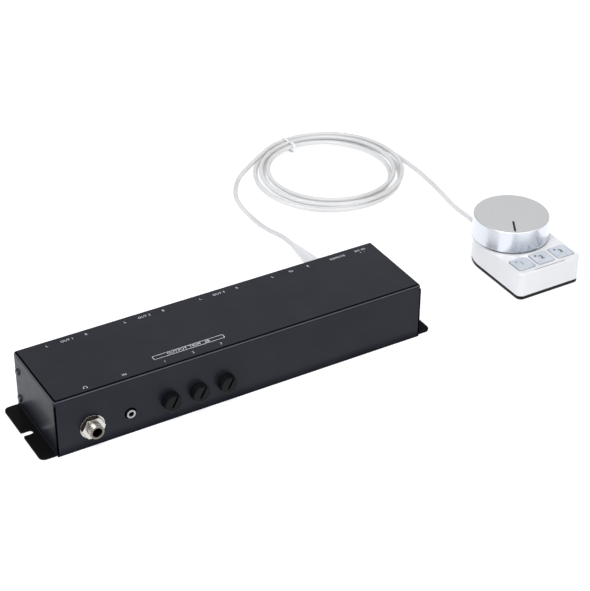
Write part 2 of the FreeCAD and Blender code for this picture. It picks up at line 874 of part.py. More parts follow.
def combo_input(i):
    """Combination input: ring for a plug shell, three contact holes and a central jack bore."""
    body, mouth = panel_socket("combo_input_%d" % (i + 1), OUTPUT_COUNT + i)
    ring = body.newObject("PartDesign::Pocket", "Ring")
    rounds = [(0, 0, size("combo_ring_outer")), (0, 0, size("combo_ring_inner"))]
    sketch = circles(body, "XZ_Plane", rounds, mouth)
    ring.Profile = sketch
    ring.Midplane = True
    bind(ring, "Length", size("combo_ring_depth") * 2)
    doc.recompute()
    jack = circles(body, "XZ_Plane", [(0, 0, size("combo_jack_radius"))], mouth)
    pocket(body, jack, size("combo_jack_depth"))
    around = []
    for angle in COMBO_CONTACT_ANGLES:
        x = size("combo_contact_ring") * math.cos(math.radians(angle))
        z = size("combo_contact_ring") * math.sin(math.radians(angle))
        around.append((x, z, size("combo_contact_radius")))
    pocket(body, circles(body, "XZ_Plane", around, mouth), size("combo_ring_depth"))


def connector_screws():
    items = []
    flange_face = half_depth + size("connector_flange_depth")
    length = size("connector_flange_depth") + sheet_thick + size("screw_overhang")
    for x, z in connector_screw_places():
        shank = rod(size("screw_radius"), length, (x, flange_face, z), TO_FRONT)
        head = cone(size("screw_head_radius"), size("screw_head_top"), size("screw_head_height"),
                    (x, flange_face, z), TO_REAR)
        items.append(fuse(shank, head))
    group("connector_screws", items)


def remote_socket():
    """Round multi-pole socket for the cable of the remote."""
    x, z = size("remote_socket_x"), size("connector_height")
    length = size("remote_socket_length")
    back = half_depth - sheet_thick - size("seam_gap")
    height = (z - board_top) * 2
    case = block(size("remote_socket_width"), length, height, (x, back - length / 2, board_top))
    nose = rod(size("remote_socket_nose"), sheet_thick + size("seam_gap") * 2, (x, back, z), TO_REAR)
    bore = rod(size("remote_socket_bore"), length, (x, back - size("remote_socket_depth"), z), TO_REAR)
    keep("remote_socket", cut(fuse(case, nose), bore))


def power_inlet():
    """Barrel socket for the low-voltage supply, with its centre pin."""
    x, z = size("inlet_x"), size("connector_height")
    length = size("inlet_length")
    back = half_depth - sheet_thick - size("seam_gap")
    height = (z - board_top) * 2
    case = block(size("inlet_width"), length, height, (x, back - length / 2, board_top))
    nose = rod(size("inlet_nose"), sheet_thick + size("seam_gap") * 2, (x, back, z), TO_REAR)
    face = back + sheet_thick + size("seam_gap") * 2
    depth = size("inlet_bore_depth")
    bore = rod(size("inlet_bore"), depth, (x, face - depth, z), TO_REAR)
    keep("power_inlet", cut(fuse(case, nose), bore))
    pin_length = depth - size("inlet_pin_setback")
    keep("inlet_pin", rod(size("inlet_pin_radius"), pin_length, (x, face - depth, z), TO_REAR))


# Front controls


def headphone_jack():
    """Switched jack body on the board, its threaded bush through the front, washer and nut."""
    x, z = -size("phones_x"), size("front_axis")
    width, length = size("phones_body_width"), size("phones_body_length")
    height = (z - board_top) * 2
    case = block(width, length, height, (x, front_inside + length / 2, board_top))
    hollow = rod(size("phones_bore") + size("jack_hollow_gap"), length - size("jack_end_wall"),
                 (x, front_inside, z), TO_REAR)
    keep("headphone_jack_body", cut(case, hollow))
    reach = sheet_thick + size("phones_reach")
    bush = rod(size("phones_bush_radius"), reach, (x, front_inside, z), TO_FRONT)
    margin = size("cut_margin")
    bore = rod(size("phones_bore"), reach + margin * 2, (x, front_inside + margin, z), TO_FRONT)
    keep("headphone_bush", cut(bush, bore))
    hole = size("phones_bush_radius") + size("shaft_clearance")
    washer = rod(size("phones_washer_radius"), size("phones_washer_height"), (x, -half_depth, z), TO_FRONT)
    washer_hole = rod(hole, size("phones_washer_height") + margin * 2, (x, -half_depth + margin, z), TO_FRONT)
    keep("headphone_washer", cut(washer, washer_hole))
    seat = -half_depth - size("phones_washer_height")
    nut_height = size("phones_nut_height")
    nut = hexagon(size("phones_nut_flats"), nut_height, (x, seat, z), TO_FRONT)
    rounding = cone(size("phones_nut_seat_radius"), size("phones_nut_face_radius"), nut_height,
                    (x, seat, z), TO_FRONT)
    nut_hole = rod(hole, nut_height + margin * 2, (x, seat + margin, z), TO_FRONT)
    keep("headphone_nut", cut(common(nut, rounding), nut_hole))


def aux_jack():
    """Small stereo jack with a plain metal ring in the front wall."""
    x, z = -size("aux_x"), size("front_axis")
    width, length = size("aux_body_width"), size("aux_body_length")
    height = z + width / 2 - board_top
    case = block(width, length, height, (x, front_inside + length / 2, board_top))
    hollow = rod(size("aux_bore") + size("jack_hollow_gap"), length - size("jack_end_wall"),
                 (x, front_inside, z), TO_REAR)
    keep("aux_jack_body", cut(case, hollow))
    reach = sheet_thick + size("aux_reach")
    ring = rod(size("aux_ring_radius"), reach, (x, front_inside, z), TO_FRONT)
    margin = size("cut_margin")
    bore = rod(size("aux_bore"), reach + margin * 2, (x, front_inside + margin, z), TO_FRONT)
    keep("aux_jack_ring", cut(ring, bore))


def trim_pots():
    """Bodies of the three small trim potentiometers, standing on the board behind the front."""
    items = []
    z = size("front_axis")
    length = size("trim_body_length")
    for i in range(TRIM_COUNT):
        x = trim_x(i)
        height = (z - board_top) * 2
        case = block(size("trim_body_width"), length, height, (x, front_inside + length / 2, board_top))
        bush = rod(size("trim_bush_radius"), sheet_thick, (x, front_inside, z), TO_FRONT)
        bore_length = sheet_thick + size("trim_bore_depth")
        bore = rod(size("trim_shaft_radius") + size("shaft_clearance"), bore_length,
                   (x, -half_depth, z), TO_REAR)
        items.append(cut(fuse(case, bush), bore))
    group("trim_pots", items)


def trim_shaft(i):
    """Shaft of a trim potentiometer, from inside its body into the knob."""
    start = front_inside + size("trim_bore_depth") - size("seam_gap")
    end = -half_depth - size("trim_knob_reach") + size("trim_face_wall")
    shaft = rod(size("trim_shaft_radius"), start - end, (trim_x(i), start, size("front_axis")), TO_FRONT)
    keep("trim_shaft_%d" % (i + 1), shaft)


def trim_knob(i):
    """Small round knob with a rounded rim, a stepped root and a line cut into its face."""
    body = new_body("trim_knob_%d" % (i + 1), (trim_x(i), -half_depth, size("front_axis")), stand=90)
    root, face = size("trim_knob_gap"), size("trim_knob_reach")
    bore = size("trim_shaft_radius") + size("shaft_clearance")
    bore_end = face - size("trim_face_wall") + size("shaft_clearance")
    profile = [
        (bore, root), (size("trim_knob_radius"), root),
        (size("trim_knob_radius"), root + size("trim_knob_root")),
        (size("trim_knob_face"), face), (0, face), (0, bore_end), (bore, bore_end),
    ]
    revolve(body, outlines(body, "XZ_Plane", [profile]))
    round_edges(body, size("trim_knob_rim"), lambda e: e.Curve.TypeId == "Part::GeomCircle"
                and abs(e.Curve.Radius - size("trim_knob_face").number) < 0.01)
    length = size("trim_line_outer") + size("trim_line_inner")
    middle = (size("trim_line_outer") - size("trim_line_inner")) / 2
    line = outlines(body, "XY_Plane", [rectangle(0, middle, size("trim_line_width"), length)], face,
                    turn=-size("trim_line_angle"))
    pocket(body, line, size("trim_line_depth"))


# Remote


def remote_outline(inset):
    """Straight front and sides with a half-round back about the knob's axis, drawn in by an inset."""
    half = size("remote_half_width") - inset
    front = -size("remote_front") + inset
    return [(half, front), (half, 0, half), (0, half, half), (-half, 0), (-half, front)]


def remote_place(z):
    return (size("remote_x"), size("remote_y"), z)


remote_floor = size("foot_thickness") + size("base_thickness")
remote_board_top = size("remote_board_height") + size("board_thickness")


def boss_places():
    places = []
    for side in (-1, 1):
        places.append((size("boss_x") * side, -size("boss_front_y")))
        places.append((size("boss_back_x") * side, size("boss_back_y")))
    return places


def key_x(i):
    return size("key_pitch") * (i - 1)


def remote_housing():
    """Moulded shell, open below, with key windows, holes for the pot and the cable, and four screw bosses."""
    body = new_body("remote_housing", remote_place(remote_floor))
    wall, height = size("remote_wall"), size("remote_height") - remote_floor
    pad(body, outlines(body, "XY_Plane", [remote_outline(as_size(0))]), height)
    round_edges(body, size("remote_corner"), lambda e: runs_along(e, 2) and at(e, y=-size("remote_front")))
    round_edges(body, size("remote_top_round"), lambda e: at(e, z=height))
    pocket(body, outlines(body, "XY_Plane", [remote_outline(wall)]), height - wall)
    bosses = [(x, y, size("boss_radius")) for x, y in boss_places()]
    start = remote_board_top - remote_floor + size("seam_gap")
    pad(body, circles(body, "XY_Plane", bosses, start), height - wall / 2 - start)
    pilots = [(x, y, size("boss_pilot_radius")) for x, y in boss_places()]
    pocket(body, circles(body, "XY_Plane", pilots, start), size("boss_pilot_depth"))
    width, length = size("key_width") + size("key_gap") * 2, size("key_length") + size("key_gap") * 2
    windows = [rectangle(key_x(i), -size("key_row_y"), width, length) for i in range(KEY_COUNT)]
    through = wall + size("cut_margin")
    pocket(body, outlines(body, "XY_Plane", windows, height), through)
    corner = size("key_corner") + size("key_gap")
    round_edges(body, corner, lambda e: runs_along(e, 2) and at(e, z=height - wall / 2)
                and abs(e.CenterOfMass.y) < (size("remote_front") - wall).number)
    hole = size("level_bush_radius") + size("seam_gap")
    pocket(body, circles(body, "XY_Plane", [(0, 0, hole)], height), through)
    relief = [(0, size("relief_height") - remote_floor, size("relief_groove_radius") + size("seam_gap"))]
    pocket(body, circles(body, "XZ_Plane", relief, -size("remote_half_width")), through)


def remote_base():
    """Dark bottom plate with countersinks for its screws, inset from the housing."""
    body = new_body("remote_base", remote_place(size("foot_thickness")))
    pad(body, outlines(body, "XY_Plane", [remote_outline(size("base_inset"))]), size("base_thickness"))
    round_edges(body, size("remote_corner") - size("base_inset"), lambda e: runs_along(e, 2) and at(
        e, y=-size("remote_front") + size("base_inset")))
    hole = size("screw_radius") + size("screw_clearance")
    holes = [(x, y, hole) for x, y in boss_places()]
    pocket(body, circles(body, "XY_Plane", holes), size("base_thickness") * 2)
    sink = size("screw_head_radius") + size("screw_clearance")
    pocket(body, circles(body, "XY_Plane", [(x, y, sink) for x, y in boss_places()]),
           size("screw_head_height") + size("shaft_clearance") * 2)


def remote_foot():
    """Rubber sheet under the base plate, with holes over the screw heads."""
    body = new_body("remote_foot", remote_place(0))
    pad(body, outlines(body, "XY_Plane", [remote_outline(size("foot_inset"))]), size("foot_thickness"))
    round_edges(body, size("remote_corner") - size("foot_inset"), lambda e: runs_along(e, 2) and at(
        e, y=-size("remote_front") + size("foot_inset")))
    sink = size("screw_head_radius") + size("screw_clearance")
    holes = [(x, y, sink) for x, y in boss_places()]
    pocket(body, circles(body, "XY_Plane", holes), size("foot_thickness") * 2)


def remote_screws():
    """Four screws from below, through the base plate and the board's corners, into the bosses."""
    items = []
    for x, y in boss_places():
        place_x, place_y = size("remote_x") + x, size("remote_y") + y
        place = (place_x, place_y, size("foot_thickness"))
        head = rod(size("screw_head_radius"), size("screw_head_height"), place)
        length = remote_board_top + size("remote_screw_bite") - size("foot_thickness")
        shank = rod(size("boss_pilot_radius") - size("shaft_clearance"), length, place)
        items.append(fuse(head, shank))
    group("remote_screws", items)


def ballast_weight():
    """Steel plate that keeps the remote in place under the turning hand."""
    inside = (size("remote_half_width") - size("remote_wall") - size("ballast_gap")) * 2
    width = inside - size("boss_radius") * 4
    y = size("remote_y") - size("ballast_setback")
    keep("ballast_weight", block(width, size("ballast_length"), size("ballast_thickness"),
                                 (size("remote_x"), y, remote_floor)))


def remote_board():
    """Board of the remote with the housing's outline, held between spacers and the bosses."""
    body = new_body("remote_board", remote_place(size("remote_board_height")))
    inset = size("remote_wall") + size("remote_board_gap")
    pad(body, outlines(body, "XY_Plane", [remote_outline(inset)]), size("board_thickness"))
    hole = size("screw_radius") + size("screw_clearance")
    holes = [(x, y, hole) for x, y in boss_places()]
    pocket(body, circles(body, "XY_Plane", holes), size("board_thickness") * 2)


def remote_spacers():
    """Sleeves on the four screws that carry the board above the base plate."""
    items = []
    for x, y in boss_places():
        place = (size("remote_x") + x, size("remote_y") + y, remote_floor)
        height = size("remote_board_height") - remote_floor
        sleeve = rod(size("boss_radius"), height, place)
        bore = rod(size("screw_radius") + size("screw_clearance"), height + size("cut_margin") * 2,
                   (place[0], place[1], remote_floor - size("cut_margin")))
        items.append(cut(sleeve, bore))
    group("remote_spacers", items)


def level_pot():
    """Level potentiometer: square body on the board and a bush through the housing's top."""
    x, y = size("remote_x"), size("remote_y")
    case = block(size("level_pot_width"), size("level_pot_width"), size("level_pot_height"),
                 (x, y, remote_board_top))
    top = size("remote_height") + size("level_nut_height") + size("level_bush_past_nut")
    bush = rod(size("level_bush_radius"), top - remote_board_top, (x, y, remote_board_top))
    bore = rod(size("level_shaft_radius") + size("shaft_clearance"), top - remote_board_top,
               (x, y, remote_board_top + size("level_pot_floor")))
    keep("level_pot", cut(fuse(case, bush), bore))
    nut = hexagon(size("level_nut_flats"), size("level_nut_height"), (x, y, size("remote_height")))
    hole = rod(size("level_bush_radius") + size("shaft_clearance"),
               size("level_nut_height") + size("cut_margin") * 2,
               (x, y, size("remote_height") - size("cut_margin")))
    keep("level_pot_nut", cut(nut, hole))


knob_bottom = size("remote_height") + size("knob_gap")


def level_shaft():
    start = remote_board_top + size("level_pot_floor") + size("seam_gap")
    end = knob_bottom + size("level_shaft_top")
    keep("level_shaft", rod(size("level_shaft_radius"), end - start, remote_place(start)))


def level_knob():
    """Turned aluminium knob: hollow below, with a hub, slightly waisted sides and a slot for its pointer."""
    body = new_body("level_knob", remote_place(knob_bottom))
    height, wall = size("knob_height"), size("knob_wall")
    bore = size("level_shaft_radius") + size("shaft_clearance")
    hub_foot = size("level_nut_height") + size("knob_hub_gap")
    bore_end = size("level_shaft_top") + size("shaft_clearance")
    under_cap = height - size("knob_cap")
    bottom, top = size("knob_bottom_radius"), size("knob_top_radius")
    profile = [
        (bore, hub_foot), (size("knob_hub"), hub_foot), (size("knob_hub"), under_cap),
        (top - wall, under_cap), (top - wall, 0), (bottom, 0, -size("knob_side_hollow")),
        (top, height), (0, height), (0, bore_end), (bore, bore_end),
    ]
    revolve(body, outlines(body, "XZ_Plane", [profile]))
    rim = (size("knob_top_radius").number, size("knob_bottom_radius").number)
    bevel_edges(body, size("knob_edge"), lambda e: e.Curve.TypeId == "Part::GeomCircle"
                and any(abs(e.Curve.Radius - radius) < 0.01 for radius in rim))
    slot = rectangle(0, -(size("pointer_inner") + size("pointer_outer")) / 2, size("pointer_width"),
                     size("pointer_outer") - size("pointer_inner"))
    sketch = outlines(body, "XY_Plane", [slot], height, turn=-size("pointer_angle"))
    pocket(body, sketch, size("pointer_depth"))


def knob_pointer():
    """Dark bar laid in the slot of the level knob, flush with its top."""
    body = new_body("knob_pointer", remote_place(knob_bottom + size("knob_height")))
    gap = size("shaft_clearance")
    bar = rectangle(0, -(size("pointer_inner") + size("pointer_outer")) / 2, size("pointer_width") - gap * 2,
                    size("pointer_outer") - size("pointer_inner") - gap * 2)
    pad(body, outlines(body, "XY_Plane", [bar], -size("pointer_depth"), turn=-size("pointer_angle")),
        size("pointer_depth"))


key_top = size("remote_height") + size("key_proud")


def key(i):
    """Key cap with rounded corners, a lip that holds it under the housing and a stem over its switch."""
    place = (size("remote_x") + key_x(i), size("remote_y") - size("key_row_y"), 0)
    body = new_body("key_%d" % (i + 1), place)
    cap = outlines(body, "XY_Plane", [rectangle(0, 0, size("key_width"), size("key_length"))], key_top)
    pad(body, cap, size("key_thickness"), back=True)
    round_edges(body, size("key_corner"), lambda e: runs_along(e, 2))
    bevel_edges(body, size("key_bevel"), lambda e: at(e, z=key_top))
    lip_top = size("remote_height") - size("remote_wall") - size("key_gap")
    lip = rectangle(0, 0, size("key_width") + size("key_lip") * 2, size("key_length") + size("key_lip") * 2)
    pad(body, outlines(body, "XY_Plane", [lip], lip_top), size("key_lip_height"), back=True)
    button = remote_board_top + size("switch_height") + size("switch_button_height")
    stem_foot = button + size("key_travel") + size("shaft_clearance") * 2
    stem = circles(body, "XY_Plane", [(0, 0, size("key_stem_radius"))], stem_foot)
    pad(body, stem, lip_top - stem_foot)


def tact_switches():
    """Small push switches under the three keys."""
    items = []
    for i in range(KEY_COUNT):
        x, y = size("remote_x") + key_x(i), size("remote_y") - size("key_row_y")
        place = (x, y, remote_board_top)
        case = block(size("switch_width"), size("switch_width"), size("switch_height"), place)
        button = rod(size("switch_button_radius"), size("switch_button_height") + size("switch_height"),
                     place)
        items.append(fuse(case, button))
    group("tact_switches", items)


def key_lights():
    """Indicator lamps behind the keys."""
    items = []
    for i in range(KEY_COUNT):
        x = size("remote_x") + key_x(i) - size("switch_width") / 2 - size("led_width")
        y = size("remote_y") - size("key_row_y") + size("switch_width") / 2
        place = (x, y, remote_board_top)
        items.append(block(size("led_width"), size("led_width"), size("led_height"), place))
    group("key_lights", items)


relief_start = size("remote_y") + size("remote_half_width")


def strain_relief():
    """Flexible sleeve of the cable: a groove sits in the housing's wall, the tail tapers to the cable."""
    place = (size("remote_x"), relief_start, size("relief_height"))
    body = new_body("remote_strain_relief", place, stand=-90)
    wall, gap = size("remote_wall"), size("seam_gap")
    bore = size("cable_radius") + size("shaft_clearance")
    root, groove = size("relief_root_radius"), size("relief_groove_radius")
    stop = -wall - gap - size("relief_slack")
    inner_end = stop - size("relief_stop")
    profile = [
        (bore, inner_end), (root, inner_end), (root, stop), (groove, stop), (groove, gap), (root, gap),
        (root, gap + size("relief_shoulder")), (size("relief_tip_radius"), size("relief_length")),
        (bore, size("relief_length")),
    ]
    revolve(body, outlines(body, "XZ_Plane", [profile]))


# Plug of the remote's cable, seated in its socket


plug_root = half_depth + size("plug_stand")
boot_end = plug_root + size("plug_body_length") + size("plug_boot_length")


def remote_plug():
    """Moulded grip of the plug with a stepped shoulder and a long tapered boot."""
    body = new_body("remote_plug", (size("remote_socket_x"), plug_root, size("connector_height")), stand=-90)
    grip, neck = size("plug_body_radius"), size("plug_neck_radius")
    length, boot = size("plug_body_length"), size("plug_boot_length")
    hollow = size("cable_radius") + size("shaft_clearance")
    rim, entry = size("plug_rim"), size("plug_cable_entry")
    profile = [
        (0, 0), (grip - rim, 0), (grip, rim), (grip, length - size("plug_shoulder")), (neck, length),
        (size("plug_tip_radius"), length + boot), (hollow, length + boot), (hollow, length + boot - entry),
        (0, length + boot - entry),
    ]
    revolve(body, outlines(body, "XZ_Plane", [profile]))


def plug_shell():
    """Metal cup of the plug, inside the socket; its floor lies against the moulded grip."""
    x, z = size("remote_socket_x"), size("connector_height")
    length = size("plug_shell_length")
    ring = rod(size("plug_shell_radius"), length, (x, plug_root, z), TO_FRONT)
    hollow = rod(size("plug_shell_radius") - size("plug_shell_wall"), length,
                 (x, plug_root - size("plug_shell_floor"), z), TO_FRONT)
    keep("plug_shell", cut(ring, hollow))


def plug_pins():
    """Contact pins on the floor of the plug's cup."""
    items = []
    x, z = size("remote_socket_x"), size("connector_height")
    floor = plug_root - size("plug_shell_floor")
    for i in range(PLUG_PIN_COUNT):
        angle = math.radians(360.0 * (i + 0.5) / PLUG_PIN_COUNT)
        across, up = size("plug_pin_ring") * math.cos(angle), size("plug_pin_ring") * math.sin(angle)
        place = (x + across, floor, z + up)
        items.append(rod(size("plug_pin_radius"), size("plug_pin_length"), place, TO_FRONT))
    group("plug_pins", items)


# Cable: two free legs and the tied coil between them


def place_feature(label, shape):
    """A sub-part whose shape is worked out from the sheet's numbers."""
    item = doc.addObject("Part::Feature", "Shape_" + label)
    item.Shape = shape
    return keep(label, item)


def tube_along(edges, radius, start, way):
    """Round solid along a chain of edges, in the default mode of the pipe shell."""
    ring = Part.Wire(Part.Circle(start, way, radius).toShape())
    pipe = Part.BRepOffsetAPI.MakePipeShell(Part.Wire(edges))
    pipe.add(ring, False, False)
    pipe.build()
    pipe.makeSolid()
    return pipe.shape()


def rounded_path(points, label):
    """Straight runs joined by the largest tangent arcs that the runs allow."""
    edges = []
    radii = []
    last = points[0]
    for before, corner, after in zip(points, points[1:], points[2:]):
        arrive, leave = corner - before, after - corner
        turn = arrive.getAngle(leave)
        cut_back = ARC_SHARE * min(arrive.Length, leave.Length)
        radii.append(cut_back / math.tan(turn / 2))
        first = corner - arrive.normalize() * cut_back
        second = corner + leave.normalize() * cut_back
        inward = ((first + second) * 0.5 - corner).normalize()
        centre = corner + inward * (radii[-1] / math.cos(turn / 2))
        middle = centre - inward * radii[-1]
        edges.append(Part.LineSegment(last, first).toShape())
        edges.append(Part.Arc(first, middle, second).toShape())
        last = second
    edges.append(Part.LineSegment(last, points[-1]).toShape())
    print("%s: smallest radius %.1f mm of %s" % (label, min(radii), [round(r) for r in radii]))
    return edges


def cable_leg(label, points):
    radius = size("cable_radius").number
    edges = rounded_path(points, label)
    shape = tube_along(edges, radius, points[0], points[1] - points[0])
    length = sum(edge.Length for edge in edges)
    print("%s: length %.1f mm, volume ratio %.5f" % (
        label, length, shape.Volume / (math.pi * radius ** 2 * length)))
    place_feature(label, shape)
    return length


def coil_point(angle):
    """Centre line of the coil: in on the lower layer, out on the upper one, at a steady rate."""
    start = size("coil_start_angle").number
    end = size("coil_end_angle").number + 360.0 * COIL_WHOLE_TURNS
    turnover = (start + end) / 2
    inner = size("coil_inner").number
    if angle < turnover:
        share = (angle - start) / (turnover - start)
        radius = size("coil_outer_start").number * (1 - share) + inner * share
    else:
        share = (angle - turnover) / (end - turnover)
        radius = inner * (1 - share) + size("coil_outer_end").number * share
    climb = min(max((angle - turnover) / 180.0 + 0.5, 0.0), 1.0)
    low = size("cable_radius").number + size("coil_lift").number
    z = low + size("coil_layer_step").number * (climb * climb * (3 - 2 * climb))
    turn = math.radians(angle)
    x = size("coil_x").number + radius * math.cos(turn)
    y = size("coil_y").number + radius * math.sin(turn)
    return FreeCAD.Vector(x, y, z)


def coil_way(angle):
    """Direction of the coil's centre line."""
    return (coil_point(angle + 0.05) - coil_point(angle - 0.05)).normalize()


def level_way(angle):
    """Direction of the coil's centre line at an end, where it lies level."""
    step = 0.05 if angle < 180.0 else -0.05
    way = (coil_point(angle + step) - coil_point(angle)) * math.copysign(1, step)
    way.z = 0
    return way.normalize()


def biarc(start, start_way, end, end_way):
    """Two arcs that meet smoothly, from one point and direction to another."""
    chord = end - start
    ways = start_way + end_way
    bend = 2 * (1 - start_way.dot(end_way))
    along = chord.dot(ways)
    reach = (-along + math.sqrt(along ** 2 + bend * chord.dot(chord))) / bend
    first, second = start + start_way * reach, end - end_way * reach
    joint = (first + second) * 0.5
    edges = []
    for a, corner, b in ((start, first, joint), (joint, second, end)):
        half_turn = (corner - a).getAngle(b - corner) / 2
        radius = reach / math.tan(half_turn)
        inward = ((a + b) * 0.5 - corner).normalize()
        centre = corner + inward * (radius / math.cos(half_turn))
        edges.append(Part.Arc(a, centre - inward * radius, b).toShape())
    return edges


def cable_coil():
    """One unbroken tube of a little over four turns, with a short straight end each way."""
    start = size("coil_start_angle").number
    end = size("coil_end_angle").number + 360.0 * COIL_WHOLE_TURNS
    diameter = size("cable_radius").number * 2
    pieces = round((end - start) / 90.0)
    angles = [start + (end - start) * i / pieces for i in range(pieces + 1)]
    ways = [level_way(angles[0])] + [coil_way(a) for a in angles[1:-1]] + [level_way(angles[-1])]
    first, last = coil_point(angles[0]), coil_point(angles[-1])
    entry, leave = first - ways[0] * diameter, last + ways[-1] * diameter
    edges = [Part.LineSegment(entry, first).toShape()]
    for i in range(pieces):
        edges += biarc(coil_point(angles[i]), ways[i], coil_point(angles[i + 1]), ways[i + 1])
    edges.append(Part.LineSegment(last, leave).toShape())
    radius = size("cable_radius").number
    shape = tube_along(edges, radius, entry, ways[0])
    length = sum(edge.Length for edge in edges)
    samples = []
    for edge in edges:
        count = max(int(edge.Length / GAP_STEP), 1)
        samples += [edge.valueAt(edge.FirstParameter + (edge.LastParameter - edge.FirstParameter) * k / count)
                    for k in range(count)]
    apart = min(a.distanceToPoint(b) for i, a in enumerate(samples) for b in samples[i + GAP_APART:])
    print("cable_coil: length %.1f mm, volume ratio %.5f, least gap to itself %.2f mm" % (
        length, shape.Volume / (math.pi * radius ** 2 * length), apart - diameter))
    place_feature("cable_coil", shape)
    return entry, ways[0], leave, ways[-1], length


def coil_tie():
    """Narrow strap around the bundle of turns."""
    inner = size("coil_inner") - size("cable_radius") - size("tie_gap") - size("tie_slack")
    outer = size("coil_outer_start") + size("cable_radius") + size("tie_gap")
    thick = size("tie_thickness")
    top = size("coil_lift") + size("cable_radius") * 2 + size("coil_layer_step") + size("tie_gap")
    turn = size("tie_angle")
    body = new_body("coil_tie", (size("coil_x"), size("coil_y"), 0))
    loop = rectangle((inner + outer) / 2, (top + thick) / 2, outer - inner + thick * 2, top + thick)
    spin = FreeCAD.Rotation(FreeCAD.Vector(0, 0, 1), turn.number)
    body.Placement = FreeCAD.Placement(body.Placement.Base, spin)
    bind(body, "Placement.Rotation.Angle", turn)
    pad(body, outlines(body, "XZ_Plane", [loop]), size("tie_width"), both=True)
    width = size("tie_width").number
    round_edges(body, size("tie_corner"), lambda e: runs_along(e, 1) or abs(e.Length - width) < 1e-3)
    hollow = rectangle((inner + outer) / 2, (top + thick) / 2, outer - inner, top - thick)
    pocket(body, outlines(body, "XZ_Plane", [hollow]), size("tie_width"))


def cable():
    """Coil, then the two legs that join it to the plug and to the remote."""
    entry, entry_way, leave, leave_way, coil_length = cable_coil()
    x, z = size("remote_socket_x").number, size("connector_height").number
    plug_end = FreeCAD.Vector(x, boot_end.number, z)
    box_leg = [plug_end, plug_end + FreeCAD.Vector(0, LEG_FIRST_RUN, 0)]
    box_leg += [FreeCAD.Vector(*point) for point in BOX_LEG_ROUTE]
    box_leg += [leave + leave_way * LEG_LAST_RUN, leave]
    relief_end = FreeCAD.Vector(size("remote_x").number, (relief_start + size("relief_length")).number,
                                size("relief_height").number)
    remote_leg = [relief_end, relief_end + FreeCAD.Vector(0, LEG_FIRST_RUN, 0)]
    remote_leg += [FreeCAD.Vector(*point) for point in REMOTE_LEG_ROUTE]
    remote_leg += [entry - entry_way * LEG_LAST_RUN, entry]
    total = coil_length + cable_leg("cable_box_leg", box_leg) + cable_leg("cable_remote_leg", remote_leg)
    print("cable: %.0f mm between the plug and the remote" % total)


case_cover()
base_panel()
end_screws()
main_board()
board_standoffs()
board_screws()
relays()
amplifier_chips()
capacitors()
for number in range(OUTPUT_COUNT):
    output_socket(number)
output_pins()
for number in range(COMBO_COUNT):
    combo_input(number)
connector_screws()
remote_socket()
power_inlet()
headphone_jack()
aux_jack()
trim_pots()
for number in range(TRIM_COUNT):
    trim_shaft(number)
    trim_knob(number)
remote_housing()
remote_base()
remote_foot()
remote_screws()
ballast_weight()
remote_board()
remote_spacers()
level_pot()
level_shaft()
level_knob()
knob_pointer()
for number in range(KEY_COUNT):
    key(number)
tact_switches()
key_lights()
strain_relief()
remote_plug()
plug_shell()
plug_pins()
cable()
coil_tie()
doc.recompute()

for item in doc.Objects:
    if "Invalid" in item.State or "Error" in item.State:
        raise RuntimeError("%s failed: %s" % (item.Label, item.State))
for label, item in nodes.items():
    if item.Shape.isNull() or not item.Shape.isValid() or not item.Shape.Solids:
        raise RuntimeError("%s has no sound shape" % label)

os.makedirs("parts", exist_ok=True)
for label, item in nodes.items():
    item.Shape.exportStep(os.path.join("parts", label + ".step"))
print("%d sub-parts, %d solids" % (len(nodes), sum(len(item.Shape.Solids) for item in nodes.values())))
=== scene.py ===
"""Looks of the studio monitor controller: camera, light, cable, finishes, captions and surface detail."""

import math

import bmesh
import bpy
from mathutils import Matrix, Vector


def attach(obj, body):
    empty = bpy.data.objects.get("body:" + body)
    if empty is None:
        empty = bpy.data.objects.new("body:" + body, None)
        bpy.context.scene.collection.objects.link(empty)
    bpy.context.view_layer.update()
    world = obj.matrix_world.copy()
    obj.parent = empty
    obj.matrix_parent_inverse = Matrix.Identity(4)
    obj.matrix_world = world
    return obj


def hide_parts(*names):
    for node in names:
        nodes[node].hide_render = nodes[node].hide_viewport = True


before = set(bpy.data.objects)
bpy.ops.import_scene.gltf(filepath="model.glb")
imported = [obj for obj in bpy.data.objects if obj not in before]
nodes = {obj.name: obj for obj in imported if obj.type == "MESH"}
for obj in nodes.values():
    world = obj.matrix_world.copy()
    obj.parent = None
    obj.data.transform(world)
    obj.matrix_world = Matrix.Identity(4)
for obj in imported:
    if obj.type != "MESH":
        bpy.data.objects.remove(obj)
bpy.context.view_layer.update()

# Places and sizes taken from the model, in metres
TOP_Z = 0.0420
FLANGE_TOP = 0.0012
FRONT_Y = -0.03125
PHONES_X, AUX_X, FRONT_AXIS_Z = -0.1100, -0.0835, 0.0155
TRIM_XS = (-0.0556, -0.0356, -0.0156)
TRIM_FACE_Y = -0.03695
REMOTE_X, REMOTE_Y = 0.2461, 0.0196
REMOTE_TOP = 0.02135
KNOB_FOOT = 0.02180
KEY_XS = (REMOTE_X - 0.0169, REMOTE_X, REMOTE_X + 0.0169)
KEY_Y = REMOTE_Y - 0.0380
KEY_TOP = REMOTE_TOP + 0.0006
PLUG_END = (0.1032, 0.08525, 0.0192)
RELIEF_END = (0.2461, 0.0612, 0.0090)
CABLE_DIAMETER = 0.0035
INK = 0.00003  # how far flat signs and lines stand off their face

# Camera

CAMERA_PLACE = Vector((-0.44344, -0.84370, 0.68400))
CAMERA_RIGHT = Vector((0.86366, -0.50403, 0.00675))
CAMERA_DOWN = Vector((-0.27166, -0.47669, -0.83605))
CAMERA_AHEAD = Vector((0.42461, 0.72022, -0.54862))
SENSOR_WIDTH, LENS = 36.0, 107.25  # millimetres


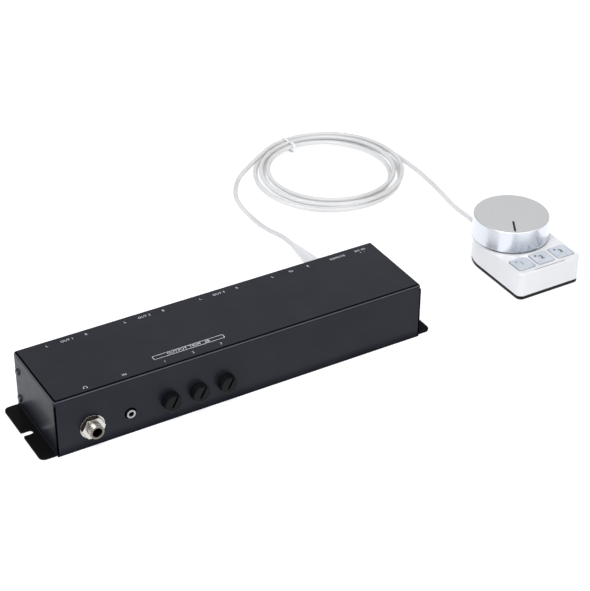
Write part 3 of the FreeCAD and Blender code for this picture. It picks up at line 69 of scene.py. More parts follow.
def add_camera():
    camera = bpy.data.objects.new("camera", bpy.data.cameras.new("camera"))
    bpy.context.scene.collection.objects.link(camera)
    turn = Matrix((CAMERA_RIGHT, -CAMERA_DOWN, -CAMERA_AHEAD)).transposed()
    camera.matrix_world = Matrix.Translation(CAMERA_PLACE) @ turn.to_4x4()
    camera.data.sensor_width = SENSOR_WIDTH
    camera.data.lens = LENS
    camera.data.clip_start = 0.05
    bpy.context.scene.camera = camera


# Node helpers

# Colour of the painted shade in crevices
CREVICE_SHADE_TONE = (0.045, 0.036, 0.030)


class Shade:
    """A material whose nodes are added one after another."""

    def __init__(self, name, colour=(0.5, 0.5, 0.5), roughness=0.5, metallic=0.0):
        self.material = bpy.data.materials.new(name)
        self.material.use_nodes = True
        self.tree = self.material.node_tree
        self.shader = self.tree.nodes["Principled BSDF"]
        self.shader.inputs["Base Color"].default_value = (*colour, 1)
        self.shader.inputs["Roughness"].default_value = roughness
        self.shader.inputs["Metallic"].default_value = metallic
        self.place = self.tree.nodes.new("ShaderNodeTexCoord").outputs["Object"]
        self.normal = None

    def set(self, socket, value):
        self.shader.inputs[socket].default_value = value

    def stretch(self, scale):
        """Object coordinates with a scale for each axis."""
        mapping = self.tree.nodes.new("ShaderNodeMapping")
        self.tree.links.new(self.place, mapping.inputs["Vector"])
        mapping.inputs["Scale"].default_value = scale
        return mapping.outputs["Vector"]

    def noise(self, scale, detail=2.0, roughness=0.5, stretch=None):
        node = self.tree.nodes.new("ShaderNodeTexNoise")
        place = self.stretch(stretch) if stretch else self.place
        self.tree.links.new(place, node.inputs["Vector"])
        node.inputs["Scale"].default_value = scale
        node.inputs["Detail"].default_value = detail
        node.inputs["Roughness"].default_value = roughness
        return node.outputs["Fac"]

    def ramp(self, factor, low, high, start=0.3, end=0.7):
        """Blend from one colour to another as the factor rises from start to end."""
        node = self.tree.nodes.new("ShaderNodeValToRGB")
        node.color_ramp.elements[0].position = start
        node.color_ramp.elements[1].position = end
        node.color_ramp.elements[0].color = (*low, 1)
        node.color_ramp.elements[1].color = (*high, 1)
        self.tree.links.new(factor, node.inputs["Fac"])
        return node.outputs["Color"]

    def band(self, factor, stops):
        """Grey level that passes through the given (factor, level) stops."""
        node = self.tree.nodes.new("ShaderNodeValToRGB")
        elements = node.color_ramp.elements
        while len(elements) < len(stops):
            elements.new(0.5)
        for element, (position, level) in zip(elements, stops):
            element.position = position
            element.color = (level, level, level, 1)
        self.tree.links.new(factor, node.inputs["Fac"])
        return node.outputs["Color"]

    def height(self):
        """Height above the table at rest."""
        split = self.tree.nodes.new("ShaderNodeSeparateXYZ")
        self.tree.links.new(self.place, split.inputs[0])
        return split.outputs["Z"]

    def lean(self, axis="Z"):
        """How far the surface itself faces along an axis: 1 along it, 0 square to it."""
        facing = self.tree.nodes.new("ShaderNodeNewGeometry")
        split = self.tree.nodes.new("ShaderNodeSeparateXYZ")
        self.tree.links.new(facing.outputs["Normal"], split.inputs[0])
        return split.outputs[axis]

    def times(self, one, other):
        """Product of two factors."""
        node = self.tree.nodes.new("ShaderNodeMath")
        node.operation = "MULTIPLY"
        self.tree.links.new(one, node.inputs[0])
        self.tree.links.new(other, node.inputs[1])
        return node.outputs["Value"]

    def tint(self, factor, colour):
        """Blend the base colour to another one as the factor rises to 1."""
        mix = self.tree.nodes.new("ShaderNodeMix")
        mix.data_type = "RGBA"
        mix.inputs["B"].default_value = (*colour, 1)
        base = self.shader.inputs["Base Color"]
        self.tree.links.new(factor, mix.inputs["Factor"])
        self.tree.links.new(base.links[0].from_socket, mix.inputs["A"])
        self.tree.links.new(mix.outputs["Result"], base)

    def span(self, factor, low, high, start=0.0, end=1.0):
        """The factor carried from one range to another."""
        node = self.tree.nodes.new("ShaderNodeMapRange")
        node.inputs["From Min"].default_value = start
        node.inputs["From Max"].default_value = end
        node.inputs["To Min"].default_value = low
        node.inputs["To Max"].default_value = high
        self.tree.links.new(factor, node.inputs["Value"])
        return node.outputs["Result"]

    def feed(self, socket, output):
        self.tree.links.new(output, self.shader.inputs[socket])

    def bump(self, height, strength, distance):
        node = self.tree.nodes.new("ShaderNodeBump")
        node.inputs["Strength"].default_value = strength
        node.inputs["Distance"].default_value = distance
        self.tree.links.new(height, node.inputs["Height"])
        if self.normal:
            self.tree.links.new(self.normal, node.inputs["Normal"])
        self.normal = node.outputs["Normal"]

    def soft_edges(self, radius):
        """Rounded edges for the light, where the model's edges are sharp."""
        node = self.tree.nodes.new("ShaderNodeBevel")
        node.samples = 4
        node.inputs["Radius"].default_value = radius
        self.normal = node.outputs["Normal"]

    def shade_crevices(self, reach):
        """Painted shade where neighbouring faces close in, as on a plated nut against its washer."""
        shelter = self.tree.nodes.new("ShaderNodeAmbientOcclusion")
        shelter.samples = 8
        shelter.inputs["Distance"].default_value = reach
        mix = self.tree.nodes.new("ShaderNodeMix")
        mix.data_type = "RGBA"
        mix.inputs["A"].default_value = (*CREVICE_SHADE_TONE, 1)
        base = self.shader.inputs["Base Color"]
        openness = self.span(shelter.outputs["AO"], 0.0, 1.0, 0.25, 0.85)
        self.tree.links.new(openness, mix.inputs["Factor"])
        self.tree.links.new(base.links[0].from_socket, mix.inputs["B"])
        self.tree.links.new(mix.outputs["Result"], base)

    def done(self):
        if self.normal:
            self.tree.links.new(self.normal, self.shader.inputs["Normal"])
        return self.material


# Stops of the cover's paint: how far up the surface faces, and the share there of the painted highlight on
# the fold and of the painted shade at the start of the bend
FOLD_HIGHLIGHT_STOPS = ((0.38, 0), (0.49, 1), (0.60, 1), (0.72, 0))
BEND_START = ((0.76, 0), (0.82, 1), (0.965, 1), (0.99, 0))
# Colours of the painted highlight on the fold, the painted shade at the start of the bend and the painted
# shade on the flanges
FOLD_HIGHLIGHT_TONE, BEND_SHADE_TONE, FLANGE_SHADE_TONE = (0.078, 0.081, 0.088), (0.0005, 0.0005, 0.0010), (0.0062, 0.0058, 0.0058)
PAINT_LOW, PAINT_HIGH = (0.0080, 0.0090, 0.0128), (0.0108, 0.0120, 0.0164)
PAINT_ROUGHNESS, PAINT_GLOSS, PAINT_COAT, PAINT_EDGE = 0.40, 0.13, 0.10, 0.0005


def outside_bend(level):
    """Stops of one level that falls to 0 where the bend starts."""
    return [(0.0, level)] + [(position, level * (1 - share)) for position, share in BEND_START]


def case_paint():
    """Powder paint with fine orange peel, a painted highlight along the fold, painted shade at the start of
    the bend and painted shade on the upward faces of the flanges."""
    shade = Shade("case_paint", PAINT_HIGH, PAINT_ROUGHNESS)
    shade.soft_edges(PAINT_EDGE)
    shade.feed("Base Color", shade.ramp(shade.noise(38.0, 3.0), PAINT_LOW, PAINT_HIGH, 0.35, 0.68))
    roughness = shade.span(shade.noise(90.0, 3.0), PAINT_ROUGHNESS - 0.04, PAINT_ROUGHNESS + 0.06)
    shade.feed("Roughness", roughness)
    shade.bump(shade.noise(5200.0, 2.0, 0.6), 0.10, 0.00012)
    shade.set("Specular Tint", (0.72, 0.82, 1.0, 1))
    shade.set("Coat Roughness", 0.12)
    lean, height = shade.lean(), shade.height()
    # Painted highlight along the fold, by how far up the surface faces
    shade.tint(shade.band(lean, FOLD_HIGHLIGHT_STOPS), FOLD_HIGHLIGHT_TONE)
    # Painted shade at the start of the bend
    shade.tint(shade.band(lean, BEND_START), BEND_SHADE_TONE)
    raised = shade.span(height, 0.12, 1.0, FLANGE_TOP + 0.0005, FLANGE_TOP + 0.0060)
    # Painted shade on the upward faces of the flanges, near the table
    flange_shade = shade.span(height, 1.0, 0.0, FLANGE_TOP + 0.0005, FLANGE_TOP + 0.0015)
    shade.tint(shade.times(flange_shade, shade.span(lean, 0.0, 1.0, 0.2, 0.8)), FLANGE_SHADE_TONE)
    gloss = shade.band(lean, outside_bend(PAINT_GLOSS))
    coat = shade.band(lean, outside_bend(PAINT_COAT))
    shade.feed("Specular IOR Level", shade.times(gloss, raised))
    shade.feed("Coat Weight", shade.times(coat, raised))
    return shade.done()


def plain_metal(name, low, high, roughness, stretch, edge=0.0003, crevice_shade=0.0):
    """Bare or plated metal with fine streaks, and painted shade in crevices where a reach is given."""
    shade = Shade(name, high, roughness, 1.0)
    shade.soft_edges(edge)
    streaks = shade.noise(900.0, 2.0, 0.5, stretch)
    shade.feed("Base Color", shade.ramp(streaks, low, high, 0.3, 0.7))
    shade.feed("Roughness", shade.span(streaks, roughness - 0.05, roughness + 0.06))
    shade.bump(streaks, 0.05, 0.00005)
    if crevice_shade:
        # Painted shade in crevices
        shade.shade_crevices(crevice_shade)
    return shade.done()


def moulded(name, low, high, roughness, grain=2600.0, depth=0.00004, edge=0.0003, gloss=0.5):
    """Moulded plastic: fine spark-eroded grain and a slow drift of tone."""
    shade = Shade(name, high, roughness)
    shade.soft_edges(edge)
    shade.feed("Base Color", shade.ramp(shade.noise(60.0, 2.0), low, high))
    roughness = shade.span(shade.noise(140.0, 2.0), roughness - 0.04, roughness + 0.05)
    shade.feed("Roughness", roughness)
    shade.bump(shade.noise(grain, 2.0, 0.55), 0.12, depth)
    shade.set("Specular IOR Level", gloss)
    return shade.done()


# Finishes

CASE = case_paint()
BLACK_SCREW = plain_metal("black_screw", (0.030, 0.030, 0.032), (0.055, 0.055, 0.058), 0.38, (1, 1, 1))
BOARD = moulded("board", (0.010, 0.055, 0.028), (0.016, 0.075, 0.038), 0.42)
STEEL = plain_metal("plain_steel", (0.42, 0.42, 0.42), (0.58, 0.58, 0.57), 0.32, (1, 6, 1))
RELAY = moulded("relay_case", (0.52, 0.50, 0.44), (0.62, 0.60, 0.54), 0.45)
CHIP = moulded("chip", (0.012, 0.012, 0.013), (0.020, 0.020, 0.021), 0.55)
SLEEVE = moulded("capacitor_sleeve", (0.012, 0.016, 0.045), (0.020, 0.026, 0.065), 0.35)
CONTACT = plain_metal("contact", (0.62, 0.48, 0.24), (0.80, 0.64, 0.34), 0.26, (1, 1, 1))
SOCKET = moulded("socket_plastic", (0.012, 0.012, 0.013), (0.022, 0.022, 0.024), 0.48)
SOCKET_METAL = plain_metal("socket_metal", (0.30, 0.30, 0.30), (0.48, 0.47, 0.46), 0.34, (1, 1, 1))
TRIM = moulded("trim_plastic", (0.0026, 0.0031, 0.0038), (0.0048, 0.0055, 0.0064), 0.42, 1800.0, 0.00005,
               gloss=0.12)
DARK = moulded("dark_plastic", (0.005, 0.005, 0.006), (0.009, 0.009, 0.010), 0.45, gloss=0.15)
# Near-black for the corner seams, and for painted shade in the trim knobs' grooves and round the small jack
SEAM_AND_SHADE_BLACK = moulded("trim_inlay", (0.0003, 0.0003, 0.0004), (0.0006, 0.0006, 0.0007), 0.60, gloss=0.0)
RUBBER = moulded("foot_rubber", (0.004, 0.004, 0.004), (0.008, 0.008, 0.008), 0.82, 1500.0, 0.00008,
                 gloss=0.10)
TIE = moulded("tie_plastic", (0.74, 0.75, 0.76), (0.80, 0.81, 0.82), 0.24)
LAMP = moulded("lamp", (0.55, 0.60, 0.55), (0.75, 0.80, 0.75), 0.20)
PRINT = moulded("caption_ink", (0.56, 0.57, 0.60), (0.68, 0.69, 0.72), 0.60, edge=0.00001)
GREY_PRINT = moulded("key_ink", (0.010, 0.011, 0.014), (0.018, 0.020, 0.024), 0.55, edge=0.00001)
# Faint grey print, also used as the painted shadow of the gaps round the keys
FAINT_PRINT_AND_SHADOW = moulded("faint_ink_and_shadow", (0.19, 0.20, 0.22), (0.26, 0.27, 0.29), 0.55, edge=0.00001)


def white_plastic():
    """Glossy moulded shell with a clear top layer."""
    shade = Shade("white_plastic", (0.80, 0.81, 0.84), 0.20)
    shade.soft_edges(0.0006)
    tone = shade.noise(30.0, 2.0)
    shade.feed("Base Color", shade.ramp(tone, (0.655, 0.656, 0.668), (0.695, 0.696, 0.706)))
    shade.feed("Roughness", shade.span(shade.noise(120.0, 3.0), 0.15, 0.26))
    shade.bump(shade.noise(900.0, 2.0), 0.03, 0.00005)
    shade.set("Coat Weight", 0.35)
    shade.set("Coat Roughness", 0.06)
    shade.set("Subsurface Weight", 0.04)
    shade.set("Subsurface Radius", (0.0012, 0.0011, 0.0010))
    return shade.done()


def frosted_key():
    """Frosted translucent key, a little blue."""
    shade = Shade("key_plastic", (0.52, 0.56, 0.62), 0.40)
    shade.soft_edges(0.0004)
    tone = shade.ramp(shade.noise(160.0, 3.0), (0.47, 0.505, 0.555), (0.56, 0.595, 0.645))
    shade.feed("Base Color", tone)
    shade.feed("Roughness", shade.span(shade.noise(400.0, 2.0), 0.34, 0.48))
    shade.bump(shade.noise(3200.0, 2.0, 0.6), 0.16, 0.00005)
    shade.set("Subsurface Weight", 0.12)
    shade.set("Subsurface Radius", (0.0016, 0.0017, 0.0018))
    return shade.done()


def cable_jacket():
    """White jacket with a slow change of tone and the faint ripple of the wires beneath."""
    shade = Shade("cable_jacket", (0.72, 0.73, 0.755), 0.42)
    tone = shade.ramp(shade.noise(26.0, 3.0), (0.60, 0.597, 0.59), (0.70, 0.697, 0.69))
    shade.feed("Base Color", tone)
    shade.feed("Roughness", shade.span(shade.noise(180.0, 2.0), 0.36, 0.50))
    shade.bump(shade.noise(1100.0, 2.0), 0.08, 0.00006)
    shade.bump(shade.noise(210.0, 1.0), 0.10, 0.00015)
    shade.set("Subsurface Weight", 0.06)
    shade.set("Subsurface Radius", (0.0012, 0.0011, 0.0010))
    return shade.done()


# Colour of the painted shade at the knob's foot
FOOT_SHADE_TONE = (0.11, 0.12, 0.14)


def turned_aluminium():
    """Fine turning marks about the knob's axis: silk on top, a brighter bluish side tone that is painted
    reflection, and painted shade at the foot.
    """
    shade = Shade("knob_aluminium", (0.62, 0.62, 0.63), 0.30, 1.0)
    shade.soft_edges(0.0003)
    tree = shade.tree
    split = tree.nodes.new("ShaderNodeSeparateXYZ")
    centred = tree.nodes.new("ShaderNodeVectorMath")
    centred.operation = "SUBTRACT"
    centred.inputs[1].default_value = (REMOTE_X, REMOTE_Y, 0)
    tree.links.new(shade.place, centred.inputs[0])
    tree.links.new(centred.outputs[0], split.inputs[0])
    flat = tree.nodes.new("ShaderNodeCombineXYZ")
    tree.links.new(split.outputs["X"], flat.inputs["X"])
    tree.links.new(split.outputs["Y"], flat.inputs["Y"])
    reach = tree.nodes.new("ShaderNodeVectorMath")
    reach.operation = "LENGTH"
    tree.links.new(flat.outputs[0], reach.inputs[0])
    ring = tree.nodes.new("ShaderNodeCombineXYZ")
    tree.links.new(reach.outputs["Value"], ring.inputs["X"])
    tree.links.new(split.outputs["Z"], ring.inputs["Z"])
    marks = tree.nodes.new("ShaderNodeTexNoise")
    marks.inputs["Scale"].default_value = 4200.0
    marks.inputs["Detail"].default_value = 2.0
    tree.links.new(ring.outputs[0], marks.inputs["Vector"])
    top = shade.ramp(marks.outputs["Fac"], (0.575, 0.575, 0.57), (0.625, 0.625, 0.62))
    lean = shade.lean()
    # Painted reflection: the side gets a brighter, bluish tone than the top
    tone = tree.nodes.new("ShaderNodeMix")
    tone.data_type = "RGBA"
    tone.inputs["A"].default_value = (0.70, 0.725, 0.77, 1)
    tree.links.new(shade.span(lean, 0.0, 1.0, 0.5, 0.9), tone.inputs["Factor"])
    tree.links.new(top, tone.inputs["B"])
    shade.feed("Base Color", tone.outputs["Result"])
    # Painted shade along the foot of the knob, next to the housing
    foot = shade.span(split.outputs["Z"], 1.0, 0.0, KNOB_FOOT + 0.0005, KNOB_FOOT + 0.0010)
    shade.tint(foot, FOOT_SHADE_TONE)
    shade.feed("Metallic", shade.span(lean, 1.0, 0.55, 0.2, 0.9))
    shade.feed("Roughness", shade.span(lean, 0.20, 0.48, 0.2, 0.9))
    shade.bump(marks.outputs["Fac"], 0.08, 0.00002)
    return shade.done()


# Reach from the jack's axis inside which the bore is painted shade, and where that painted shade ends
BORE_DARK, BORE_EDGE = 0.0033, 0.0035


def threaded_nickel():
    """Nickel plate, with the barrel's thread as fine rings along Y whose dark parts are painted shade in the
    grooves, and painted shade in the bore.
    """
    shade = Shade("threaded_nickel", (0.68, 0.65, 0.61), 0.18, 1.0)
    tree = shade.tree
    wave = tree.nodes.new("ShaderNodeTexWave")
    wave.bands_direction = "Y"
    wave.wave_profile = "TRI"
    wave.inputs["Scale"].default_value = 360.0
    wave.inputs["Distortion"].default_value = 0.0
    tree.links.new(shade.place, wave.inputs["Vector"])
    # The rings' dark tone is painted shade in the thread's grooves
    plate = shade.ramp(wave.outputs["Fac"], (0.20, 0.18, 0.155), (0.72, 0.69, 0.65), 0.08, 0.65)
    flat = tree.nodes.new("ShaderNodeVectorMath")
    flat.operation = "MULTIPLY_ADD"
    flat.inputs[1].default_value = (1, 0, 1)
    flat.inputs[2].default_value = (-PHONES_X, 0, -FRONT_AXIS_Z)
    tree.links.new(shade.place, flat.inputs[0])
    reach = tree.nodes.new("ShaderNodeVectorMath")
    reach.operation = "LENGTH"
    tree.links.new(flat.outputs[0], reach.inputs[0])
    # Painted shade inside the bore
    bore = tree.nodes.new("ShaderNodeMix")
    bore.data_type = "RGBA"
    bore.inputs["A"].default_value = (0.012, 0.011, 0.010, 1)
    edge = shade.span(reach.outputs["Value"], 0.0, 1.0, BORE_DARK, BORE_EDGE)
    tree.links.new(edge, bore.inputs["Factor"])
    tree.links.new(plate, bore.inputs["B"])
    shade.feed("Base Color", bore.outputs["Result"])
    shade.feed("Roughness", shade.span(shade.noise(700.0, 2.0), 0.14, 0.26))
    shade.bump(wave.outputs["Fac"], 0.8, 0.0003)
    # Painted shade in crevices
    shade.shade_crevices(0.0030)
    return shade.done()


def nut_nickel():
    """Bright front, and flats darkened as a painted reflection of the dark case."""
    shade = Shade("nut_nickel", (0.74, 0.71, 0.67), 0.20, 1.0)
    shade.soft_edges(0.0002)
    plate = shade.ramp(shade.noise(700.0, 2.0), (0.56, 0.535, 0.50), (0.64, 0.615, 0.58))
    shade.feed("Base Color", plate)
    shade.feed("Roughness", shade.span(shade.noise(400.0, 2.0), 0.16, 0.24))
    # Painted reflection: flats that face sideways are darkened
    shade.tint(shade.span(shade.lean("Y"), 0.0, 1.0, -0.70, -0.30), (0.040, 0.035, 0.032))
    shade.bump(shade.noise(900.0, 2.0), 0.03, 0.00004)
    return shade.done()


NUT = nut_nickel()
NICKEL = plain_metal("nickel", (0.62, 0.59, 0.55), (0.76, 0.73, 0.69), 0.17, (1, 1, 1), edge=0.0002,
                     crevice_shade=0.0030)
WHITE = white_plastic()
KEY = frosted_key()
JACKET = cable_jacket()
ALUMINIUM = turned_aluminium()
THREAD = threaded_nickel()

FINISHES = {
    CASE: ["case_cover", "base_panel"],
    BLACK_SCREW: ["end_screws", "connector_screws"],
    BOARD: ["main_board", "remote_board"],
    STEEL: ["board_standoffs", "board_screws", "remote_screws", "ballast_weight", "remote_spacers",
            "level_shaft", "level_pot", "trim_pots", "plug_shell"],
    RELAY: ["relays"],
    CHIP: ["amplifier_chips", "tact_switches"],
    SLEEVE: ["capacitors"],
    CONTACT: ["output_pins", "inlet_pin", "plug_pins"],
    SOCKET: ["output_socket_%d" % i for i in range(1, 7)] + [
        "combo_input_1", "combo_input_2", "remote_socket", "power_inlet", "headphone_jack_body",
        "aux_jack_body"],
    SOCKET_METAL: ["aux_jack_ring"],
    THREAD: ["headphone_bush"],
    NUT: ["headphone_nut"],
    NICKEL: ["headphone_washer", "level_pot_nut"],
    TRIM: ["trim_%s_%d" % (kind, i) for kind in ("knob", "shaft") for i in (1, 2, 3)],
    WHITE: ["remote_housing", "remote_strain_relief", "remote_plug"],
    DARK: ["remote_base", "knob_pointer"],
    RUBBER: ["remote_foot"],
    KEY: ["key_1", "key_2", "key_3"],
    LAMP: ["key_lights"],
    ALUMINIUM: ["level_knob"],
    TIE: ["coil_tie"],
    JACKET: ["cable_box_leg", "cable_coil", "cable_remote_leg"],
}
for material, names in FINISHES.items():
    for name in names:
        for slot in nodes[name].material_slots:
            slot.material = material

# Cable: from the remote's relief, round the tied coil, to the boot of the plug

REMOTE_LEG = [
    (0.2461, 0.0737, 0.0090), (0.2474, 0.0865, 0.0074), (0.2512, 0.1010, 0.0042),
    (0.2556, 0.1165, 0.0021), (0.2582, 0.1335, 0.00175), (0.2596, 0.1510, 0.00175),
    (0.2602, 0.1665, 0.0019),
]
BOX_LEG = [
    (0.1346, 0.2226, 0.0026), (0.1228, 0.2095, 0.00175), (0.1142, 0.1940, 0.00175),
    (0.1106, 0.1765, 0.00175), (0.1096, 0.1585, 0.0028), (0.1072, 0.1415, 0.0062),
    (0.1046, 0.1260, 0.0110), (0.1033, 0.1115, 0.0158), (0.1032, 0.09775, 0.0192),
]
COIL_X, COIL_Y = 0.1965, 0.1900
COIL_START, COIL_END = 8.0, 115.0 + 4 * 360.0
COIL_OUTER_START, COIL_INNER, COIL_OUTER_END = 0.0606, 0.0474, 0.0586
COIL_LOW, COIL_STEP = 0.00235, 0.00395
POINTS_PER_TURN = 24
TIE_ANGLE, COIL_MIDDLE, COIL_FAN = 97.0, 0.0535, 0.30


def coil_points():
    """Control points of the turns, in on the lower layer and out on the upper, fanned away from the tie."""
    turnover = (COIL_START + COIL_END) / 2
    count = round((COIL_END - COIL_START) / 360.0 * POINTS_PER_TURN)
    outside = 1 / math.cos(math.pi / POINTS_PER_TURN)
    points = []
    for i in range(count + 1):
        angle = COIL_START + (COIL_END - COIL_START) * i / count
        if angle < turnover:
            share = (angle - COIL_START) / (turnover - COIL_START)
            radius = COIL_OUTER_START + (COIL_INNER - COIL_OUTER_START) * share
        else:
            share = (angle - turnover) / (COIL_END - turnover)
            radius = COIL_INNER + (COIL_OUTER_END - COIL_INNER) * share
        climb = min(max((angle - turnover) / 180.0 + 0.5, 0.0), 1.0)
        height = COIL_LOW + COIL_STEP * climb * climb * (3 - 2 * climb)
        loose = (1 - math.cos(math.radians(angle - TIE_ANGLE))) / 2
        radius = COIL_MIDDLE + (radius - COIL_MIDDLE) * (1 + COIL_FAN * loose)
        turn = math.radians(angle)
        radius *= outside
        points.append((COIL_X + radius * math.cos(turn), COIL_Y + radius * math.sin(turn), height))
    return points


def finish_piece(name, work, material, body):
    """Turn a bmesh into a named piece that rides a body."""
    mesh = bpy.data.meshes.new(name)
    work.to_mesh(mesh)
    work.free()
    mesh.materials.append(material)
    piece = bpy.data.objects.new(name, mesh)
    bpy.context.scene.collection.objects.link(piece)
    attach(piece, body)
    return piece


# Strap round the coil, by its reach from the coil's centre and its height

STRAP_INNER, STRAP_OUTER, STRAP_TOP, STRAP_FOOT = 0.0452, 0.0614, 0.00826, 0.00010
STRAP_WIDTH, STRAP_THICK, STRAP_CORNER = 0.0024, 0.00040, 0.0026
STRAP_SAG, SAG_WAVES, SAG_STEPS = 0.0004, 3, 8
CORNER_STEPS = 6
HEAD_REACH, HEAD_HEIGHT, HEAD_SIZE, HEAD_EDGE = 0.0482, 0.00785, (0.0026, 0.0027, 0.0011), 0.0003


def strap_course():
    """Reach and height of the strap's outer side, round its four corners, with a sagging top."""
    course = []
    corners = ((STRAP_OUTER, STRAP_TOP, 0), (STRAP_INNER, STRAP_TOP, 90), (STRAP_INNER, STRAP_FOOT, 180),
               (STRAP_OUTER, STRAP_FOOT, 270))
    for reach, height, start in corners:
        centre_r = reach - STRAP_CORNER if reach == STRAP_OUTER else reach + STRAP_CORNER
        centre_z = height - STRAP_CORNER if height == STRAP_TOP else height + STRAP_CORNER
        for i in range(CORNER_STEPS + 1):
            turn = math.radians(start + 90.0 / CORNER_STEPS * i)
            course.append((centre_r + STRAP_CORNER * math.cos(turn),
                           centre_z + STRAP_CORNER * math.sin(turn)))
        if start == 0:
            for k in range(1, SAG_STEPS):
                share = k / SAG_STEPS
                ripple = 1 + 0.6 * math.cos(math.tau * share * SAG_WAVES)
                flat = STRAP_INNER - STRAP_OUTER + 2 * STRAP_CORNER
                course.append((STRAP_OUTER - STRAP_CORNER + flat * share,
                               STRAP_TOP - STRAP_SAG * math.sin(math.pi * share) * ripple))
    return course


def coil_strap():
    """A narrow nylon strap drawn round the turns, its ends held in a small head."""
    centre = ((STRAP_OUTER + STRAP_INNER) / 2, (STRAP_TOP + STRAP_FOOT) / 2)
    work = bmesh.new()
    rings = []
    for reach, height in strap_course():
        inward = Vector((centre[0] - reach, centre[1] - height)).normalized() * STRAP_THICK
        ring = []
        for side in (-1, 1):
            for a, b in ((reach, height), (reach + inward.x, height + inward.y)):
                ring.append(work.verts.new((a, side * STRAP_WIDTH / 2, max(b, STRAP_FOOT))))
        rings.append((ring[0], ring[1], ring[3], ring[2]))
    for i, ring in enumerate(rings):
        after = rings[(i + 1) % len(rings)]
        for k in range(4):
            work.faces.new((ring[k], after[k], after[(k + 1) % 4], ring[(k + 1) % 4]))
    head = bmesh.ops.create_cube(work, size=1.0)["verts"]
    for vert in head:
        across, along, up = (share * size for share, size in zip(vert.co, HEAD_SIZE))
        vert.co = Vector((HEAD_REACH + across, along, HEAD_HEIGHT + up))
    edges = {edge for vert in head for edge in vert.link_edges}
    bmesh.ops.bevel(work, geom=list(edges), offset=HEAD_EDGE, offset_type="OFFSET", segments=2, profile=0.5,
                    affect="EDGES")
    bmesh.ops.recalc_face_normals(work, faces=work.faces)
    turn = Matrix.Rotation(math.radians(TIE_ANGLE), 4, "Z")
    work.transform(Matrix.Translation((COIL_X, COIL_Y, 0)) @ turn)
    piece = finish_piece("coil_strap", work, TIE, "console")
    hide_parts("coil_tie")
    return piece


def add_cable(strap):
    """The cord in one course, to the boot of its plug; the strap it is given is not used."""
    points = [RELIEF_END] + REMOTE_LEG + coil_points() + BOX_LEG + [PLUG_END]
    curve = bpy.data.curves.new("cable", "CURVE")
    curve.dimensions = "3D"
    spline = curve.splines.new("NURBS")
    spline.points.add(len(points) - 1)
    for point, place in zip(spline.points, points):
        point.co = (*place, 1)
    spline.order_u = 3
    spline.use_endpoint_u = True
    spline.resolution_u = 6
    curve.bevel_depth = CABLE_DIAMETER / 2
    curve.bevel_resolution = 4
    curve.materials.append(JACKET)
    cable = bpy.data.objects.new("cable", curve)
    bpy.context.scene.collection.objects.link(cable)
    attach(cable, "console")
    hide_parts("cable_box_leg", "cable_coil", "cable_remote_leg")


# Flat letters, strips and outlines

CAP_SHARE = 0.72  # height of a capital as a share of the letters' size


def lettering(work, text, place, height, spacing=1.1, swell=0.0):
    """Add flat letters to a bmesh, centred on a place of an upward face."""
    curve = bpy.data.curves.new("letters", "FONT")
    curve.body = text
    curve.size = height / CAP_SHARE
    curve.align_x = "CENTER"
    curve.align_y = "CENTER"
    curve.space_character = spacing
    curve.offset = swell
    curve.resolution_u = 3
    holder = bpy.data.objects.new("letters", curve)
    bpy.context.scene.collection.objects.link(holder)
    bpy.context.view_layer.update()
    mesh = bpy.data.meshes.new_from_object(holder)
    mesh.transform(Matrix.Translation(Vector(place)))
    work.from_mesh(mesh)
    bpy.data.objects.remove(holder)
    bpy.data.curves.remove(curve)
    bpy.data.meshes.remove(mesh)


def line_strip(work, points, width, z, closed=False):
    """Add a flat strip of one width that follows points on an upward face."""
    count = len(points)
    rails = []
    for i in range(count):
        before = points[i - 1] if closed or i > 0 else points[i]
        after = points[(i + 1) % count] if closed or i < count - 1 else points[i]
        way = Vector((after[0] - before[0], after[1] - before[1], 0)).normalized()
        side = Vector((-way.y, way.x, 0)) * width / 2
        middle = Vector((points[i][0], points[i][1], z))
        rails.append((work.verts.new(middle + side), work.verts.new(middle - side)))
    for i in range(count if closed else count - 1):
        a, b = rails[i], rails[(i + 1) % count]
        work.faces.new((a[1], b[1], b[0], a[0]))


def rounded_loop(left, right, low, high, radius, steps=6):
    """Outline of a rectangle with rounded corners."""
    points = []
    corners = ((right - radius, high - radius, 0), (left + radius, high - radius, 90),
               (left + radius, low + radius, 180), (right - radius, low + radius, 270))
    for x, y, start in corners:
        for i in range(steps + 1):
            turn = math.radians(start + 90.0 * i / steps)
            points.append((x + radius * math.cos(turn), y + radius * math.sin(turn)))
    return points


def ring_points(x, y, radius, count, first=0.0, sweep=math.tau):
    """Points of an arc, or of a full circle without its last point."""
    last = count if sweep == math.tau else count - 1
    turns = [first + sweep * i / last for i in range(count)]
    return [(x + radius * math.cos(turn), y + radius * math.sin(turn)) for turn in turns]


def flat_face(work, points, z):
    work.faces.new([work.verts.new((x, y, z)) for x, y in points])


# Captions of the case

REAR_ROW_Y, FRONT_ROW_Y = 0.0263, -0.0258
CAPTION = 0.0021
REAR_CAPTIONS = [
    ("L", -0.1134), ("OUT 1", -0.0993), ("R", -0.0859), ("L", -0.0584), ("OUT 2", -0.0445), ("R", -0.0307),
    ("L", -0.0032), ("OUT 3", 0.0106), ("R", 0.0243), ("L", 0.0517), ("IN", 0.0661), ("R", 0.0796),
]
REMOTE_CAPTION_X, INLET_X = 0.1028, 0.1212
TRIM_CAPTION_X, TRIM_CAPTION_Y = -0.0355, -0.0190
# Frame round the trim caption, and a cup of the headphone sign: left, right, low, high and corner
TRIM_FRAME = (-0.0605, -0.0102, -0.0208, -0.0172, 0.0008)
CUP = (-0.00035, 0.00035, -0.0006, 0.0006, 0.0002)
FRAME_WIDTH, BAND_WIDTH = 0.00034, 0.00032
BAND_X, BAND_RADIUS = PHONES_X - 0.0006, 0.0011


